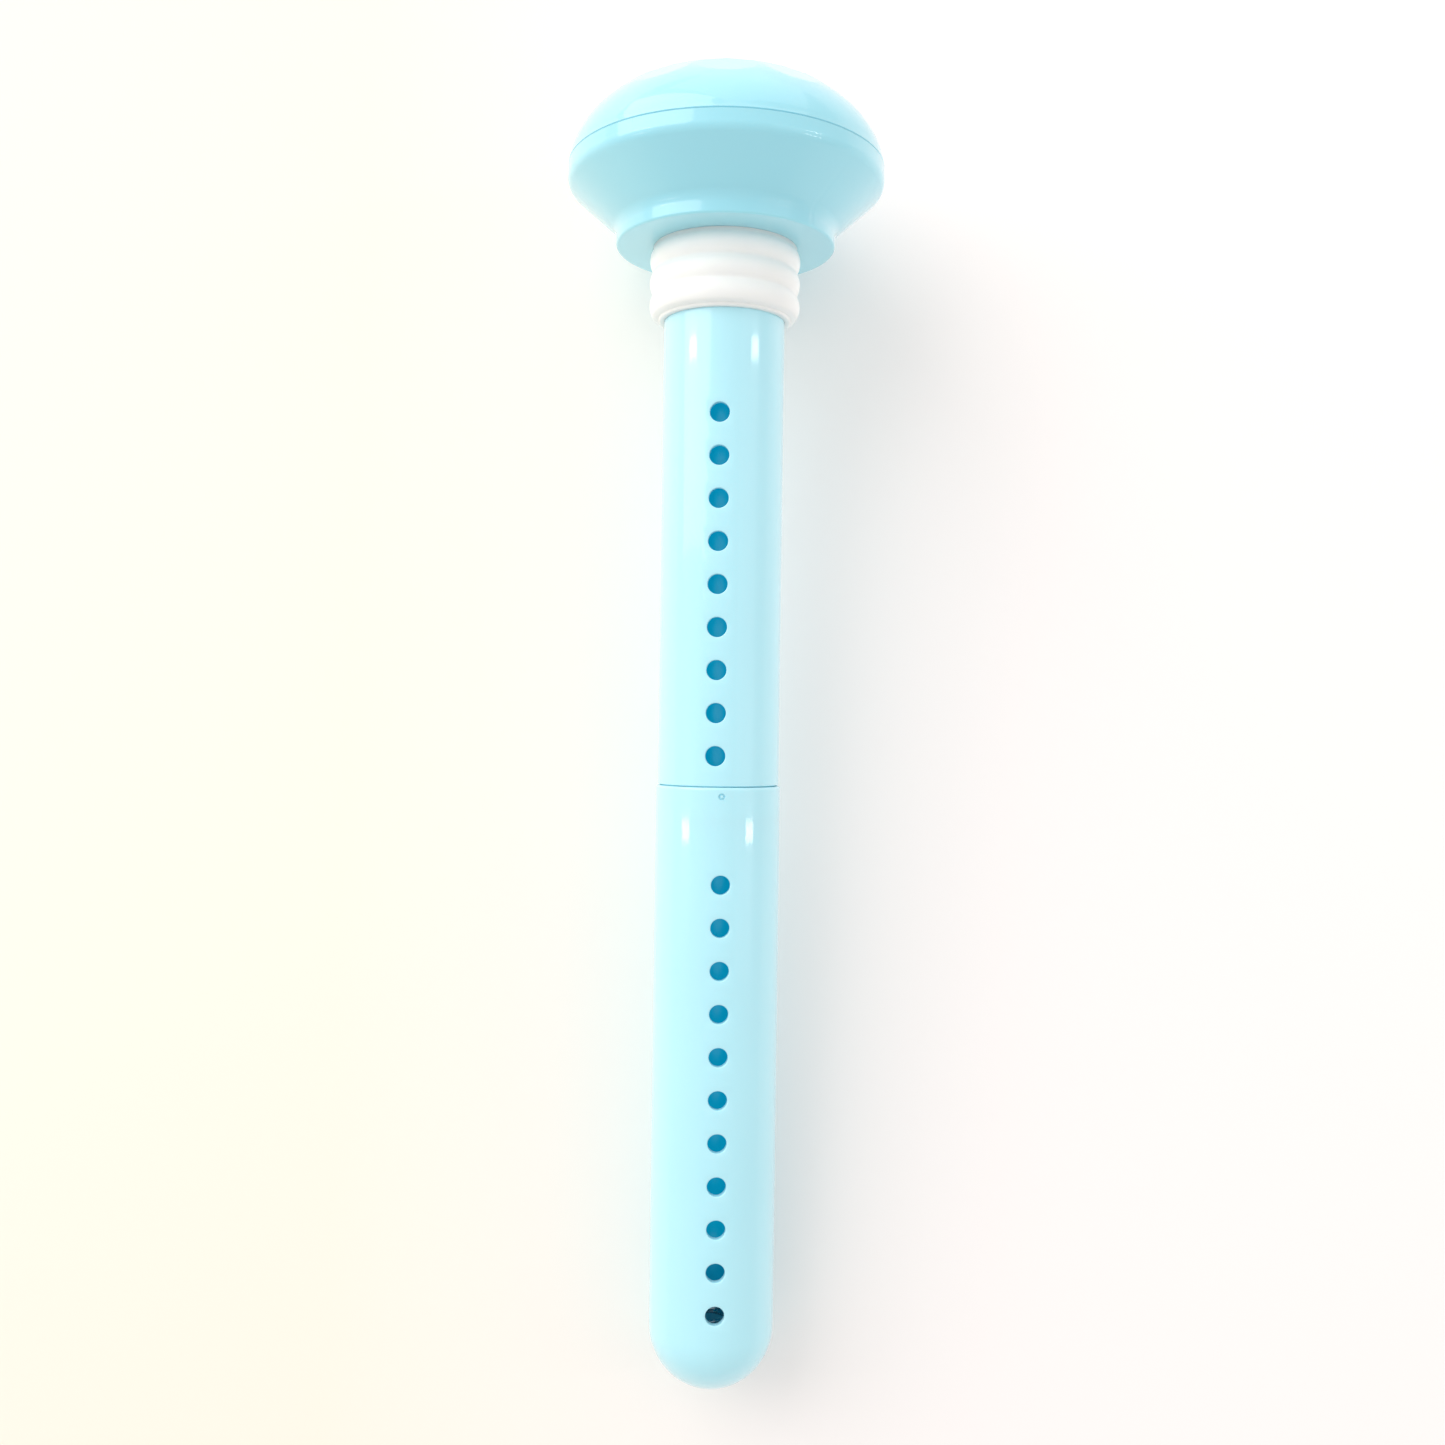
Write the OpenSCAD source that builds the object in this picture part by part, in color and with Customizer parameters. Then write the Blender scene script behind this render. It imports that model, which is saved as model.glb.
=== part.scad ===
/* [Head] */
// Radius of the head at its widest, on the split line
head_r = 23.6; // [21:0.1:30]
// Height of the split line above the bottle seat
rim_z = 11.5; // [10.5:0.1:14]
// Height of the flat table around the mist outlet
table_z = 24.2; // [22.5:0.1:30]
// Rise of the dome's ellipse above its own centre
dome_rise = 14.9; // [13.5:0.1:19]
// Radius of the neck that stands on the bottle
neck_r = 16.3; // [15.9:0.1:19]
// Wall of both shells
shell_wall = 1.6; // [1.2:0.1:2]
// Number of kite-shaped flats around the dome
facet_count = 12; // [8:1:16]
// Depth that each kite flat is cut below the smooth dome
facet_depth = 0.3; // [0.1:0.05:0.5]

/* [Mist outlet] */
// Radius of the mist outlet
outlet_r = 6; // [4.5:0.1:7]
// Depth of the outlet from the table to the gasket
outlet_depth = 5.8; // [4.8:0.1:7]
// Radius of the atomizer's mesh plate
disc_r = 8; // [7.5:0.1:8.5]
// Height of the atomizer's gasket
gasket_h = 3.4; // [3:0.1:4]

/* [Tubes] */
// Outer radius of the upper tube
upper_r = 9; // [7.5:0.1:9.2]
// Outer radius of the lower tube
lower_r = 9.25; // [9:0.05:9.8]
// Wall of the upper tube
tube_wall = 1; // [0.8:0.05:1.3]
// Depth of the joint between the tubes below the bottle seat
joint_depth = 80; // [70:1:100]
// Full length of the wand below the bottle seat
wand_length = 169.5; // [150:0.5:210]
// Pitch of the water holes
hole_pitch = 6.18; // [5:0.01:7.5]
// Radius of the upper tube's holes
upper_hole_r = 1.45; // [1:0.05:1.8]
// Radius of the lower tube's holes
lower_hole_r = 1.38; // [1:0.02:1.8]
// Angle of the upper rows from the front
upper_turn = -3; // [-20:0.5:20]
// Angle of the lower rows from the front
lower_turn = 3.5; // [-20:0.5:20]

/* [Bottle plug] */
// Radius over the plug's ribs
rib_r = 11.2; // [10.7:0.05:12]
// Radius in the grooves between the ribs
groove_r = 10.6; // [10:0.05:11]
// Height of the plug
plug_h = 11; // [9:0.5:16]

/* [Wick] */
// Radius of the wick
wick_r = 4; // [3:0.1:4.4]
// Inner radius of the wick tube
wick_tube_r = 4.5; // [4.4:0.1:4.8]
// Wall of the wick tube
wick_tube_wall = 0.9; // [0.6:0.1:1.1]
// Height of the wick spring at rest
spring_h = 10; // [8:0.5:14]
// Radius of the spring's wire
wire_r = 0.3; // [0.2:0.05:0.4]

/* [Circuit] */
// Thickness of the circuit board
board_t = 1; // [0.8:0.1:1.6]
// Width of the charging socket
usb_w = 7.5; // [7:0.1:9]
// Height of the charging socket
usb_h = 2.6; // [2.4:0.1:3.2]
// Radius of the power button
button_r = 2.2; // [1.8:0.1:2.4]

/* [Hidden] */
$fn = 96;

bond = 0.03;            // gap of a bonded or pressed seat
run = 0.05;             // radial clearance of a running fit
over = 0.5;             // how far a cutter passes the face that it cuts
far = 80;               // side of a cutter that clears the whole head
shell_blue = [0.65, 0.9, 0.94];
deep_blue = [0.05, 0.5, 0.68];

// Head
dome_z = rim_z - 1;
band_h = 1.6;
line_groove = 0.15;
neck_h = 2.6;
floor_t = 2;
cone_foot = [neck_r, neck_h];
cone_top = [head_r - 0.05, rim_z - band_h - 0.9];
cone_lift = shell_wall * norm(cone_top - cone_foot) / (cone_top.x - cone_foot.x);
cone_slope = (cone_top.y - cone_foot.y) / (cone_top.x - cone_foot.x);
inner_r = head_r - shell_wall - 0.05;
neck_inner_r = neck_r - shell_wall;
lip_wall = 1.1;
lip_h = 1.6;
kite_r = 0.763 * head_r;
kite_tilt = atan(dome_rise / head_r * (kite_r / head_r) / sqrt(1 - pow(kite_r / head_r, 2)));
kite_z = dome_height(kite_r) - facet_depth / cos(kite_tilt);
crown_tilt = 20;
crown_r = 0.593 * head_r;
crown_z = dome_height(crown_r) - facet_depth * 1.4;

// Stack of the atomizer on the column
socket_depth = 8;
collar_t = 1.2;
bore_r = 7;
gasket_top = table_z - outlet_depth;
cup_floor = gasket_top - gasket_h;
cup_r = disc_r + 1.2;
column_r = max(cup_r, upper_r) + 1.4;
gasket_r = cup_r - 0.1;
gasket_bore_r = 5.2;
plate_t = 0.2;
plate_z = cup_floor + 1.4;
piezo_t = 0.6;
piezo_bore_r = 4.2;
slot_r = disc_r + 0.05;

// Circuit
board_z = rim_z - 0.3;
board_top = board_z + board_t;
board_r = inner_r - 0.1 - lip_wall - 0.2;
board_bore_r = column_r + 0.4;
screw_circle = (column_r + neck_inner_r) / 2;
boss_r = (neck_inner_r - column_r) / 2 - 0.25;
screw_r = 0.8;
screw_head_r = 1.4;
screw_head_h = 0.9;
screw_depth = 5;
screw_angles = [0, 120, 240];
usb_angle = 115;
usb_l = 5.6;
usb_face = head_r - 1.1;
usb_wall = 0.3;
button_angle = 65;
button_z = board_top + 2;
button_proud = 0.55;
button_face = dome_radius(button_z) + button_proud;
flange_face = 0.8 * head_r;
flange_r = button_r + 0.5;
flange_t = 0.8;
stem_r = 0.9;
stem_l = 1.8;
switch_size = [3, 6, 3.6];
switch_face = flange_face - flange_t - 0.8;
notch_l = board_r - switch_face + 2;
lead_r = 0.4;
lead_z = plate_z + plate_t + lead_r + 0.05;
lead_foot_r = 13.6;
lead_bend = 1.5;
lead_spread = 6;
led_angle = 40;
led_size = [0.8, 1.6, 0.6];
chip_size = [5, 5, 1];
inductor_angle = 215;
inductor_r = 2.6;
inductor_h = 3;
capacitor_angles = [300, 320, 340];
capacitor_size = [2, 1.25, 1.25];
parts_circle = (board_r + board_bore_r) / 2;

// Tubes
joint_z = -joint_depth;
tip_z = -wand_length;
upper_bore = upper_r - tube_wall;
spigot_r = upper_r - 0.9;
spigot_bore = spigot_r - 1.1;
spigot_l = 11;
socket_r = spigot_r + run;
tip_centre = tip_z + lower_r;
row_count = 3;
last_upper_hole = joint_z + 4.5;
first_lower_hole = joint_z - 14;
upper_rows = floor((-plug_h - 14 - last_upper_hole) / hole_pitch) + 1;
lower_rows = floor((first_lower_hole - tip_centre - 4) / hole_pitch) + 1;
ring_z = joint_z - 5;
ring_wire = 0.3;
ring_groove_r = socket_r + 2 * ring_wire + run;
ring_groove_h = 2 * ring_wire + 0.1;
edge_r = 0.4;

// Wick and spring
wick_tube_out = wick_tube_r + wick_tube_wall;
seat_z = tip_z + 6;
seat_r = 4.2;
spring_r = 3.3;
spring_turns = 6;
post_r = spring_r - wire_r - 0.4;
post_h = 1.5;
cup_z = seat_z + spring_h;
cup_base = 1.2;
cup_h = 5;
wick_cup_in = wick_r + bond;
wick_cup_out = wick_tube_r + 0.5;
wick_foot = cup_z + cup_base;
wick_tip = plate_z - run;
wick_tube_foot = cup_z + cup_h + 1;
slot_l = 9;
slot_w = 2.6;
slot_pitch = 14;

// Plug
rib_pitch = 3.35;
rib_land = 1.1;
first_rib = 2;
lip_step = 0.7;
plug_lip_r = upper_r + 0.75;

function dome_height(r) = dome_z + dome_rise * sqrt(1 - pow(r / head_r, 2));
function dome_radius(z) = head_r * sqrt(1 - pow((z - dome_z) / dome_rise, 2));
function unit(v) = v / norm(v);

// Points of an arc of radius r that rounds the corner b between a and c.
function corner(a, b, c, r, steps = 6) =
    let (u = unit(a - b), v = unit(c - b), half = acos(u * v) / 2)
    let (centre = b + unit(u + v) * r / sin(half), s = b + u * r / tan(half), e = b + v * r / tan(half))
    let (a0 = atan2(s.y - centre.y, s.x - centre.x), a1 = atan2(e.y - centre.y, e.x - centre.x))
    let (sweep = (a1 - a0 + 540) % 360 - 180)
    [for (i = [0:steps]) centre + r * [cos(a0 + sweep * i / steps), sin(a0 + sweep * i / steps)]];

// Outline of half an ellipsoid, from its rim up to its apex.
function dome_points(r, rise, foot, steps = 14) =
    let (a0 = asin((foot - dome_z) / rise))
    concat([[0, foot], [r * cos(a0), foot]],
        [for (i = [1:steps]) let (a = a0 + (90 - a0) * i / steps)
            [i == steps ? 0 : r * cos(a), dome_z + rise * sin(a)]]);

// A cylinder that lies along the radius at one angle and height, from one distance to another.
module spoke(angle, z, r, from, to) {
    rotate([0, 0, angle])
        translate([from, 0, z])
            rotate([0, 90, 0])
                cylinder(h = to - from, r = r);
}

// A block on the board, centred on the radius at one angle.
module block(angle, distance, size, z = board_top) {
    rotate([0, 0, angle])
        translate([distance - size.x / 2, -size.y / 2, z])
            cube(size);
}

module ring(outer, inner, foot, height) {
    translate([0, 0, foot])
        difference() {
            cylinder(h = height, r = outer);
            translate([0, 0, -over])
                cylinder(h = height + 2 * over, r = inner);
        }
}

module hole_rows(turn, count, start, r, wall_r) {
    for (row = [0:row_count - 1])
        for (i = [0:count - 1])
            spoke(turn - 90 + row * 360 / row_count, start - i * hole_pitch, r, wall_r - 3, wall_r + 2);
}

// Half-space above a plane that leans down from the axis, passing through radius r at height z.
module plane_cut(angle, tilt, r, z) {
    rotate([0, 0, angle])
        translate([r, 0, z])
            rotate([0, tilt, 0])
                translate([-far / 2, -far / 2, 0])
                    cube([far, far, far / 2]);
}

module dome_blank() {
    difference() {
        rotate_extrude()
            polygon(dome_points(head_r, dome_rise, rim_z));
        for (k = [0:facet_count - 1]) {
            plane_cut(-90 + k * 360 / facet_count, kite_tilt, kite_r, kite_z);
            plane_cut(-90 + (k + 0.5) * 360 / facet_count, crown_tilt, crown_r, crown_z);
        }
        translate([-far / 2, -far / 2, table_z])
            cube([far, far, far / 4]);
    }
}

module top_cover() {
    color(shell_blue)
    difference() {
        union() {
            difference() {
                dome_blank();
                rotate_extrude()
                    polygon(dome_points(head_r - shell_wall, dome_rise - shell_wall - 0.3, rim_z - 0.01));
            }
            ring(cup_r - 0.15, outlet_r, gasket_top, table_z - gasket_top - 1);
            ring(inner_r - 0.1, inner_r - 0.1 - lip_wall, rim_z - lip_h, lip_h + 1);
        }
        translate([0, 0, gasket_top - over])
            cylinder(h = outlet_depth + 2 * over, r = outlet_r);
        block(usb_angle, head_r - 1, [6, usb_w + 0.6, usb_h + 0.6], board_top - 0.3);
        spoke(button_angle, button_z, button_r + run, flange_face + 0.2, head_r + 2);
        rotate_extrude()
            polygon([[head_r - line_groove, rim_z - 0.01], [head_r + 1, rim_z - 0.01],
                [head_r + 1, rim_z + 1 + line_groove]]);
    }
}

module lower_shell() {
    color(shell_blue)
    difference() {
        union() {
            rotate_extrude()
                polygon(concat([[upper_r, 0]],
                    corner([upper_r, 0], [neck_r, 0], cone_foot, 0.4),
                    corner([neck_r, 0], cone_foot, cone_top, 2.4),
                    corner(cone_foot, cone_top, [head_r - 0.05, rim_z], 1.8),
                    [[head_r - 0.05, rim_z - line_groove], [head_r - 0.05 - line_groove, rim_z],
                     [inner_r, rim_z],
                     [inner_r, cone_foot.y + cone_lift + (inner_r - neck_r) * cone_slope],
                     [neck_inner_r, cone_foot.y + cone_lift + (neck_inner_r - neck_r) * cone_slope],
                     [neck_inner_r, floor_t], [upper_r, floor_t]]));
            cylinder(h = gasket_top + 0.6, r = column_r);
            for (a = screw_angles)
                rotate([0, 0, a])
                    translate([screw_circle, 0, floor_t - 0.5])
                        cylinder(h = board_z - floor_t + 0.5, r = boss_r);
        }
        translate([0, 0, -over])
            cylinder(h = socket_depth + collar_t + over, r = upper_r + bond);
        cylinder(h = table_z, r = bore_r);
        translate([0, 0, cup_floor])
            cylinder(h = table_z, r = cup_r);
        for (side = [-1, 1])
            block(-90 + side * lead_spread, column_r, [4, 2 * lead_r + 0.2, table_z], lead_z - lead_r - 0.1);
        for (a = screw_angles)
            rotate([0, 0, a])
                translate([screw_circle, 0, board_z - screw_depth - 0.3])
                    cylinder(h = screw_depth + 1, r = screw_r + bond);
    }
}

module circuit_board() {
    color("darkgreen")
    difference() {
        ring(board_r, board_bore_r, board_z, board_t);
        for (a = screw_angles)
            rotate([0, 0, a])
                translate([screw_circle, 0, board_z - over])
                    cylinder(h = board_t + 2 * over, r = screw_r + bond);
        block(button_angle, switch_face + notch_l / 2, [notch_l, 2 * flange_r + 0.6, board_t + 2 * over],
            board_z - over);
    }
}

module usb_socket() {
    color("silver")
    difference() {
        block(usb_angle, usb_face - usb_l / 2, [usb_l, usb_w, usb_h]);
        block(usb_angle, usb_face - usb_l / 2 + 1, [usb_l, usb_w - 2 * usb_wall, usb_h - 2 * usb_wall],
            board_top + usb_wall);
    }
}

module usb_tongue() {
    color("dimgray")
    block(usb_angle, usb_face - usb_l / 2 + 0.5, [usb_l - 1, usb_w - 3.5, 0.6], board_top + usb_h / 2 - 0.1);
}

module switch_body() {
    color("dimgray")
    difference() {
        block(button_angle, switch_face - switch_size.x / 2, switch_size);
        spoke(button_angle, button_z, stem_r + run, switch_face - stem_l, switch_face + over);
    }
}

module switch_stem() {
    color("black")
    spoke(button_angle, button_z, stem_r, switch_face - stem_l + 0.8, flange_face - flange_t);
}

module power_button() {
    color(shell_blue) {
        spoke(button_angle, button_z, flange_r, flange_face - flange_t, flange_face);
        spoke(button_angle, button_z, button_r, flange_face - flange_t, button_face);
    }
}

module status_led() {
    color("white")
    block(led_angle, parts_circle, led_size);
}

module driver_chip() {
    color("black")
    block(180, parts_circle, chip_size);
}

module boost_inductor() {
    color("darkgray")
    rotate([0, 0, inductor_angle])
        translate([parts_circle, 0, board_top])
            cylinder(h = inductor_h, r = inductor_r);
}

module capacitors() {
    color("tan")
    for (a = capacitor_angles)
        block(a, parts_circle, capacitor_size);
}

module board_screws() {
    color("silver")
    for (a = screw_angles)
        rotate([0, 0, a])
            translate([screw_circle, 0, board_top]) {
                cylinder(h = screw_head_h, r = screw_head_r);
                translate([0, 0, -screw_depth])
                    cylinder(h = screw_depth, r = screw_r);
            }
}

module disc_gasket() {
    color("whitesmoke")
    difference() {
        ring(gasket_r, gasket_bore_r, cup_floor, gasket_h);
        translate([0, 0, plate_z - 0.02])
            cylinder(h = plate_t + piezo_t + 0.04, r = slot_r);
        for (side = [-1, 1])
            spoke(-90 + side * lead_spread, lead_z, lead_r + 0.05, disc_r - 1, gasket_r + 1);
    }
}

module mesh_plate() {
    color("silver")
    translate([0, 0, plate_z])
        cylinder(h = plate_t, r = disc_r);
}

module piezo_ring() {
    color("gold")
    ring(disc_r - 0.9, piezo_bore_r, plate_z + plate_t, piezo_t - 0.05);
}

module lead(side) {
    rotate([0, 0, -90 + side * lead_spread]) {
        translate([lead_foot_r, 0, board_top])
            cylinder(h = lead_z - lead_bend - board_top, r = lead_r);
        translate([lead_foot_r - lead_bend, 0, lead_z - lead_bend])
            rotate([90, 0, 0])
                rotate_extrude(angle = 90)
                    translate([lead_bend, 0])
                        circle(r = lead_r);
        translate([disc_r - 0.85, 0, lead_z])
            rotate([0, 90, 0])
                cylinder(h = lead_foot_r - lead_bend - disc_r + 0.85, r = lead_r);
    }
}

module live_lead() {
    color("firebrick") lead(-1);
}

module return_lead() {
    color("black") lead(1);
}

module upper_tube() {
    color(shell_blue)
    difference() {
        union() {
            translate([0, 0, joint_z])
                cylinder(h = socket_depth - joint_z, r = upper_r);
            translate([0, 0, joint_z - spigot_l])
                cylinder(h = spigot_l + over, r = spigot_r);
        }
        translate([0, 0, joint_z + 1])
            cylinder(h = socket_depth - joint_z, r = upper_bore);
        translate([0, 0, joint_z - spigot_l - over])
            cylinder(h = spigot_l + 3, r = spigot_bore);
        hole_rows(upper_turn, upper_rows, last_upper_hole + (upper_rows - 1) * hole_pitch,
            upper_hole_r, upper_r);
    }
}

module lower_tube() {
    color(shell_blue)
    difference() {
        union() {
            rotate_extrude()
                polygon(concat([[0, tip_centre], [lower_r, tip_centre]],
                    corner([lower_r, tip_centre], [lower_r, joint_z], [0, joint_z], edge_r),
                    [[0, joint_z]]));
            translate([0, 0, tip_centre])
                sphere(r = lower_r);
        }
        difference() {
            union() {
                translate([0, 0, tip_centre])
                    cylinder(h = joint_z - tip_centre + over, r = socket_r);
                translate([0, 0, tip_centre])
                    sphere(r = socket_r);
            }
            translate([0, 0, tip_z])
                cylinder(h = seat_z - tip_z, r = seat_r);
            translate([0, 0, tip_z])
                cylinder(h = seat_z - tip_z + post_h, r = post_r);
        }
        translate([0, 0, ring_z - ring_groove_h / 2])
            cylinder(h = ring_groove_h, r = ring_groove_r);
        hole_rows(lower_turn, lower_rows, first_lower_hole, lower_hole_r, lower_r);
    }
}

module tube_o_ring() {
    color("black")
    translate([0, 0, ring_z])
        rotate_extrude()
            translate([socket_r + ring_wire, 0])
                circle(r = ring_wire, $fn = 32);
}

module wick_tube() {
    color(deep_blue)
    difference() {
        union() {
            ring(wick_tube_out, wick_tube_r, wick_tube_foot, socket_depth + collar_t - wick_tube_foot);
            ring(upper_r - 0.1, wick_tube_r, socket_depth, collar_t);
        }
        for (row = [0:row_count - 1])
            for (z = [wick_tube_foot + slot_pitch:slot_pitch:-2 * slot_l])
                block(-30 + row * 360 / row_count, wick_tube_out, [4, slot_w, slot_l], z);
    }
}

module wick() {
    color("ivory")
    translate([0, 0, wick_foot])
        cylinder(h = wick_tip - wick_foot, r = wick_r);
}

module wick_cup() {
    color("white") {
        ring(wick_cup_out, wick_cup_in, cup_z + cup_base, cup_h - cup_base);
        translate([0, 0, cup_z])
            cylinder(h = cup_base, r = wick_cup_out);
        translate([0, 0, cup_z - post_h])
            cylinder(h = post_h + 0.1, r = post_r);
    }
}

// A helix of round wire between two heights, with flat closed ends.
module coil(r, wire, foot, height, turns, steps = 24, sides = 8) {
    count = turns * steps;
    rise = height - 2 * wire;
    points = [for (i = [0:count]) for (s = [0:sides - 1])
        let (t = i / count, a = 360 * turns * t, b = 360 * s / sides)
        [(r + wire * cos(b)) * cos(a), (r + wire * cos(b)) * sin(a), foot + wire + rise * t + wire * sin(b)]];
    skin = [for (i = [0:count - 1]) for (s = [0:sides - 1])
        let (n = (s + 1) % sides)
        [i * sides + s, i * sides + n, (i + 1) * sides + n, (i + 1) * sides + s]];
    ends = [[for (s = [sides - 1:-1:0]) s], [for (s = [0:sides - 1]) count * sides + s]];
    polyhedron(points, concat(skin, ends), convexity = 10);
}

module wick_spring() {
    color("silver")
    coil(spring_r, wire_r, seat_z, spring_h, spring_turns);
}

module stopper_sleeve() {
    color("white")
    rotate_extrude()
        polygon(concat([[upper_r + bond, 0], [groove_r, 0]],
            [for (i = [0:2]) let (z = -first_rib - i * rib_pitch) each [
                [groove_r, z + rib_pitch / 2], [rib_r - 0.15, z + rib_land / 2 + 0.25],
                [rib_r, z + rib_land / 2], [rib_r, z - rib_land / 2],
                [rib_r - 0.15, z - rib_land / 2 - 0.25]]],
            [[plug_lip_r + 0.4, -plug_h + lip_step], [plug_lip_r, -plug_h + lip_step],
             [plug_lip_r, -plug_h + 0.1], [plug_lip_r - 0.1, -plug_h], [upper_r + bond, -plug_h]]));
}

top_cover();
lower_shell();
circuit_board();
usb_socket();
usb_tongue();
switch_body();
switch_stem();
power_button();
status_led();
driver_chip();
boost_inductor();
capacitors();
board_screws();
disc_gasket();
mesh_plate();
piezo_ring();
live_lead();
return_lead();
upper_tube();
lower_tube();
tube_o_ring();
wick_tube();
wick();
wick_cup();
wick_spring();
stopper_sleeve();
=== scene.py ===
import math

import bmesh
import bpy
from mathutils import Matrix, Vector


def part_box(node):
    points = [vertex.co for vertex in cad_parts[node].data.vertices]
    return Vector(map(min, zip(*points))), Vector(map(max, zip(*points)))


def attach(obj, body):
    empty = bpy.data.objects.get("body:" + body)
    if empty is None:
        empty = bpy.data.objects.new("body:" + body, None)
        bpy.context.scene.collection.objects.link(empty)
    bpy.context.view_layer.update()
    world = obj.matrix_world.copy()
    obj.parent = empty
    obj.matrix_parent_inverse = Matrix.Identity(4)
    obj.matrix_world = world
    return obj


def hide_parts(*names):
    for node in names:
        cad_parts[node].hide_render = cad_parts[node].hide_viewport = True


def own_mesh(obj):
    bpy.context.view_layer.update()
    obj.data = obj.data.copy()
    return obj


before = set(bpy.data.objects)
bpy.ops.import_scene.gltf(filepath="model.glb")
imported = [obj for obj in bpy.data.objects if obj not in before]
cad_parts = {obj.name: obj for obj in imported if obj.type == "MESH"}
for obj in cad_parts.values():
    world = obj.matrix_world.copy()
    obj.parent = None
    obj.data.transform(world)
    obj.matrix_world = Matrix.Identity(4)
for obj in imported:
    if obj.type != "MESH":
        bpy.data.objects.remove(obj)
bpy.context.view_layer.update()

bl_info = {
    "name": "Bottle humidifier",
    "version": (1, 0, 0),
    "blender": (4, 5, 0),
    "location": "View3D > Sidebar > Humidifier",
    "description": "Models the shells, wand, plug and mist parts of a bottle humidifier",
    "category": "Object",
}

MM = 0.001
FRONT = math.radians(-90)
REAR_PORT = math.radians(115)
REAR_BUTTON = math.radians(65)
HEAD_STEPS = 288
TUBE_STEPS = 96
TUBE_FIT = 0.03             # clearance around the upper tube


# ---------------------------------------------------------------- sizes and colours

def corner_mm(node):
    """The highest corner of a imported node, in millimetres."""
    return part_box(node)[1] / MM


def foot_mm(node):
    """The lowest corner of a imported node, in millimetres."""
    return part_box(node)[0] / MM


def extent(node):
    """Top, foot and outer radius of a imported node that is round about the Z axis."""
    return corner_mm(node).z, foot_mm(node).z, corner_mm(node).x


def middle_mm(node):
    """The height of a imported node's middle."""
    return (corner_mm(node).z + foot_mm(node).z) / 2


def length(name, description, millimetres):
    return bpy.props.FloatProperty(
        name=name, description=description, default=millimetres * MM, unit="LENGTH", precision=5)


def tint(name, description, colour):
    return bpy.props.FloatVectorProperty(
        name=name, description=description, default=colour, subtype="COLOR", size=3, min=0, max=1)


class HumidifierSizes(bpy.types.PropertyGroup):
    head_radius: length("Head radius", "Widest radius of the head", corner_mm("lower_shell").x)
    table_height: length("Table height", "Height of the flat around the outlet", corner_mm("top_cover").z)
    rim_height: length("Split line", "Height of the line between cover and housing", 11.5)
    dome_rise: length("Dome rise", "Rise of the dome's ellipse", 14.9)
    kite_depth: length("Kite depth", "How deep the kite flats are cut", 0.3)
    ridge_round: length("Ridge rounding", "Rounding of the ridges between the flats", 0.32)
    outlet_radius: length("Outlet radius", "Radius of the mist outlet", 6.0)
    neck_radius: length("Neck radius", "Radius of the neck and flange", 16.3)
    neck_height: length("Neck height", "Height of the straight part of the neck", 2.6)
    shell_wall: length("Shell wall", "Wall of both shells", 1.6)
    upper_radius: length("Upper tube", "Outer radius of the upper tube", corner_mm("upper_tube").x)
    lower_radius: length("Lower tube", "Outer radius of the lower tube", corner_mm("lower_tube").x)
    joint_height: length("Tube joint", "Height of the joint between the tubes", corner_mm("lower_tube").z)
    tip_height: length("Tip", "Height of the wand's tip", foot_mm("lower_tube").z)
    hole_pitch: length("Hole pitch", "Pitch of the water holes", 6.18)
    upper_hole: length("Upper holes", "Radius of the upper tube's holes", 1.45)
    lower_hole: length("Lower holes", "Radius of the lower tube's holes", 1.38)
    rib_radius: length("Plug ribs", "Radius over the plug's ribs", corner_mm("stopper_sleeve").x)
    plug_height: length("Plug height", "Height of the bottle plug", -foot_mm("stopper_sleeve").z)


class HumidifierColours(bpy.types.PropertyGroup):
    shell: tint("Shells", "Pale blue moulded plastic of the head", (0.35, 0.77, 0.89))
    wand: tint("Wand", "Pale blue moulded plastic of the tubes", (0.49, 0.88, 0.99))
    core: tint("Wick tube", "Deep blue plastic of the wick tube", (0.0, 0.45, 0.62))
    silicone: tint("Silicone", "White silicone of the plug", (0.985, 0.985, 0.95))


def sizes():
    """The sizes in millimetres, by name."""
    group = bpy.context.scene.humidifier_sizes
    return {name: getattr(group, name) / MM for name in HumidifierSizes.__annotations__}


# ---------------------------------------------------------------- materials

def node_in(tree, kind, values=(), **settings):
    """Adds a shader node, with its settings and the values of its sockets."""
    made = tree.nodes.new(kind)
    for name, value in settings.items():
        setattr(made, name, value)
    for name, value in dict(values).items():
        made.inputs[name].default_value = value
    return made


def object_coords(tree):
    return node_in(tree, "ShaderNodeTexCoord").outputs["Object"]


def noise(tree, where, scale, detail=3.0, stretch=None):
    """Noise on the object's own coordinates, in features per metre."""
    if stretch:
        mapping = node_in(tree, "ShaderNodeMapping", {"Scale": stretch})
        tree.links.new(where, mapping.inputs["Vector"])
        where = mapping.outputs["Vector"]
    made = node_in(tree, "ShaderNodeTexNoise", {"Scale": scale, "Detail": detail})
    tree.links.new(where, made.inputs["Vector"])
    return made.outputs["Fac"]


def ramp(tree, factor, low, high, to_low=0.0, to_high=1.0):
    """Maps low..high of a factor to another range, and clamps it."""
    made = node_in(tree, "ShaderNodeMapRange",
                   {"From Min": low, "From Max": high, "To Min": to_low, "To Max": to_high})
    tree.links.new(factor, made.inputs["Value"])
    return made.outputs["Result"]


def blend_colours(tree, factor, first, second):
    made = node_in(tree, "ShaderNodeMix", data_type="RGBA")
    tree.links.new(factor, made.inputs["Factor"])
    for socket, colour in ((made.inputs[6], first), (made.inputs[7], second)):
        if isinstance(colour, bpy.types.NodeSocket):
            tree.links.new(colour, socket)
        else:
            socket.default_value = (*colour, 1)
    return made.outputs[2]


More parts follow.
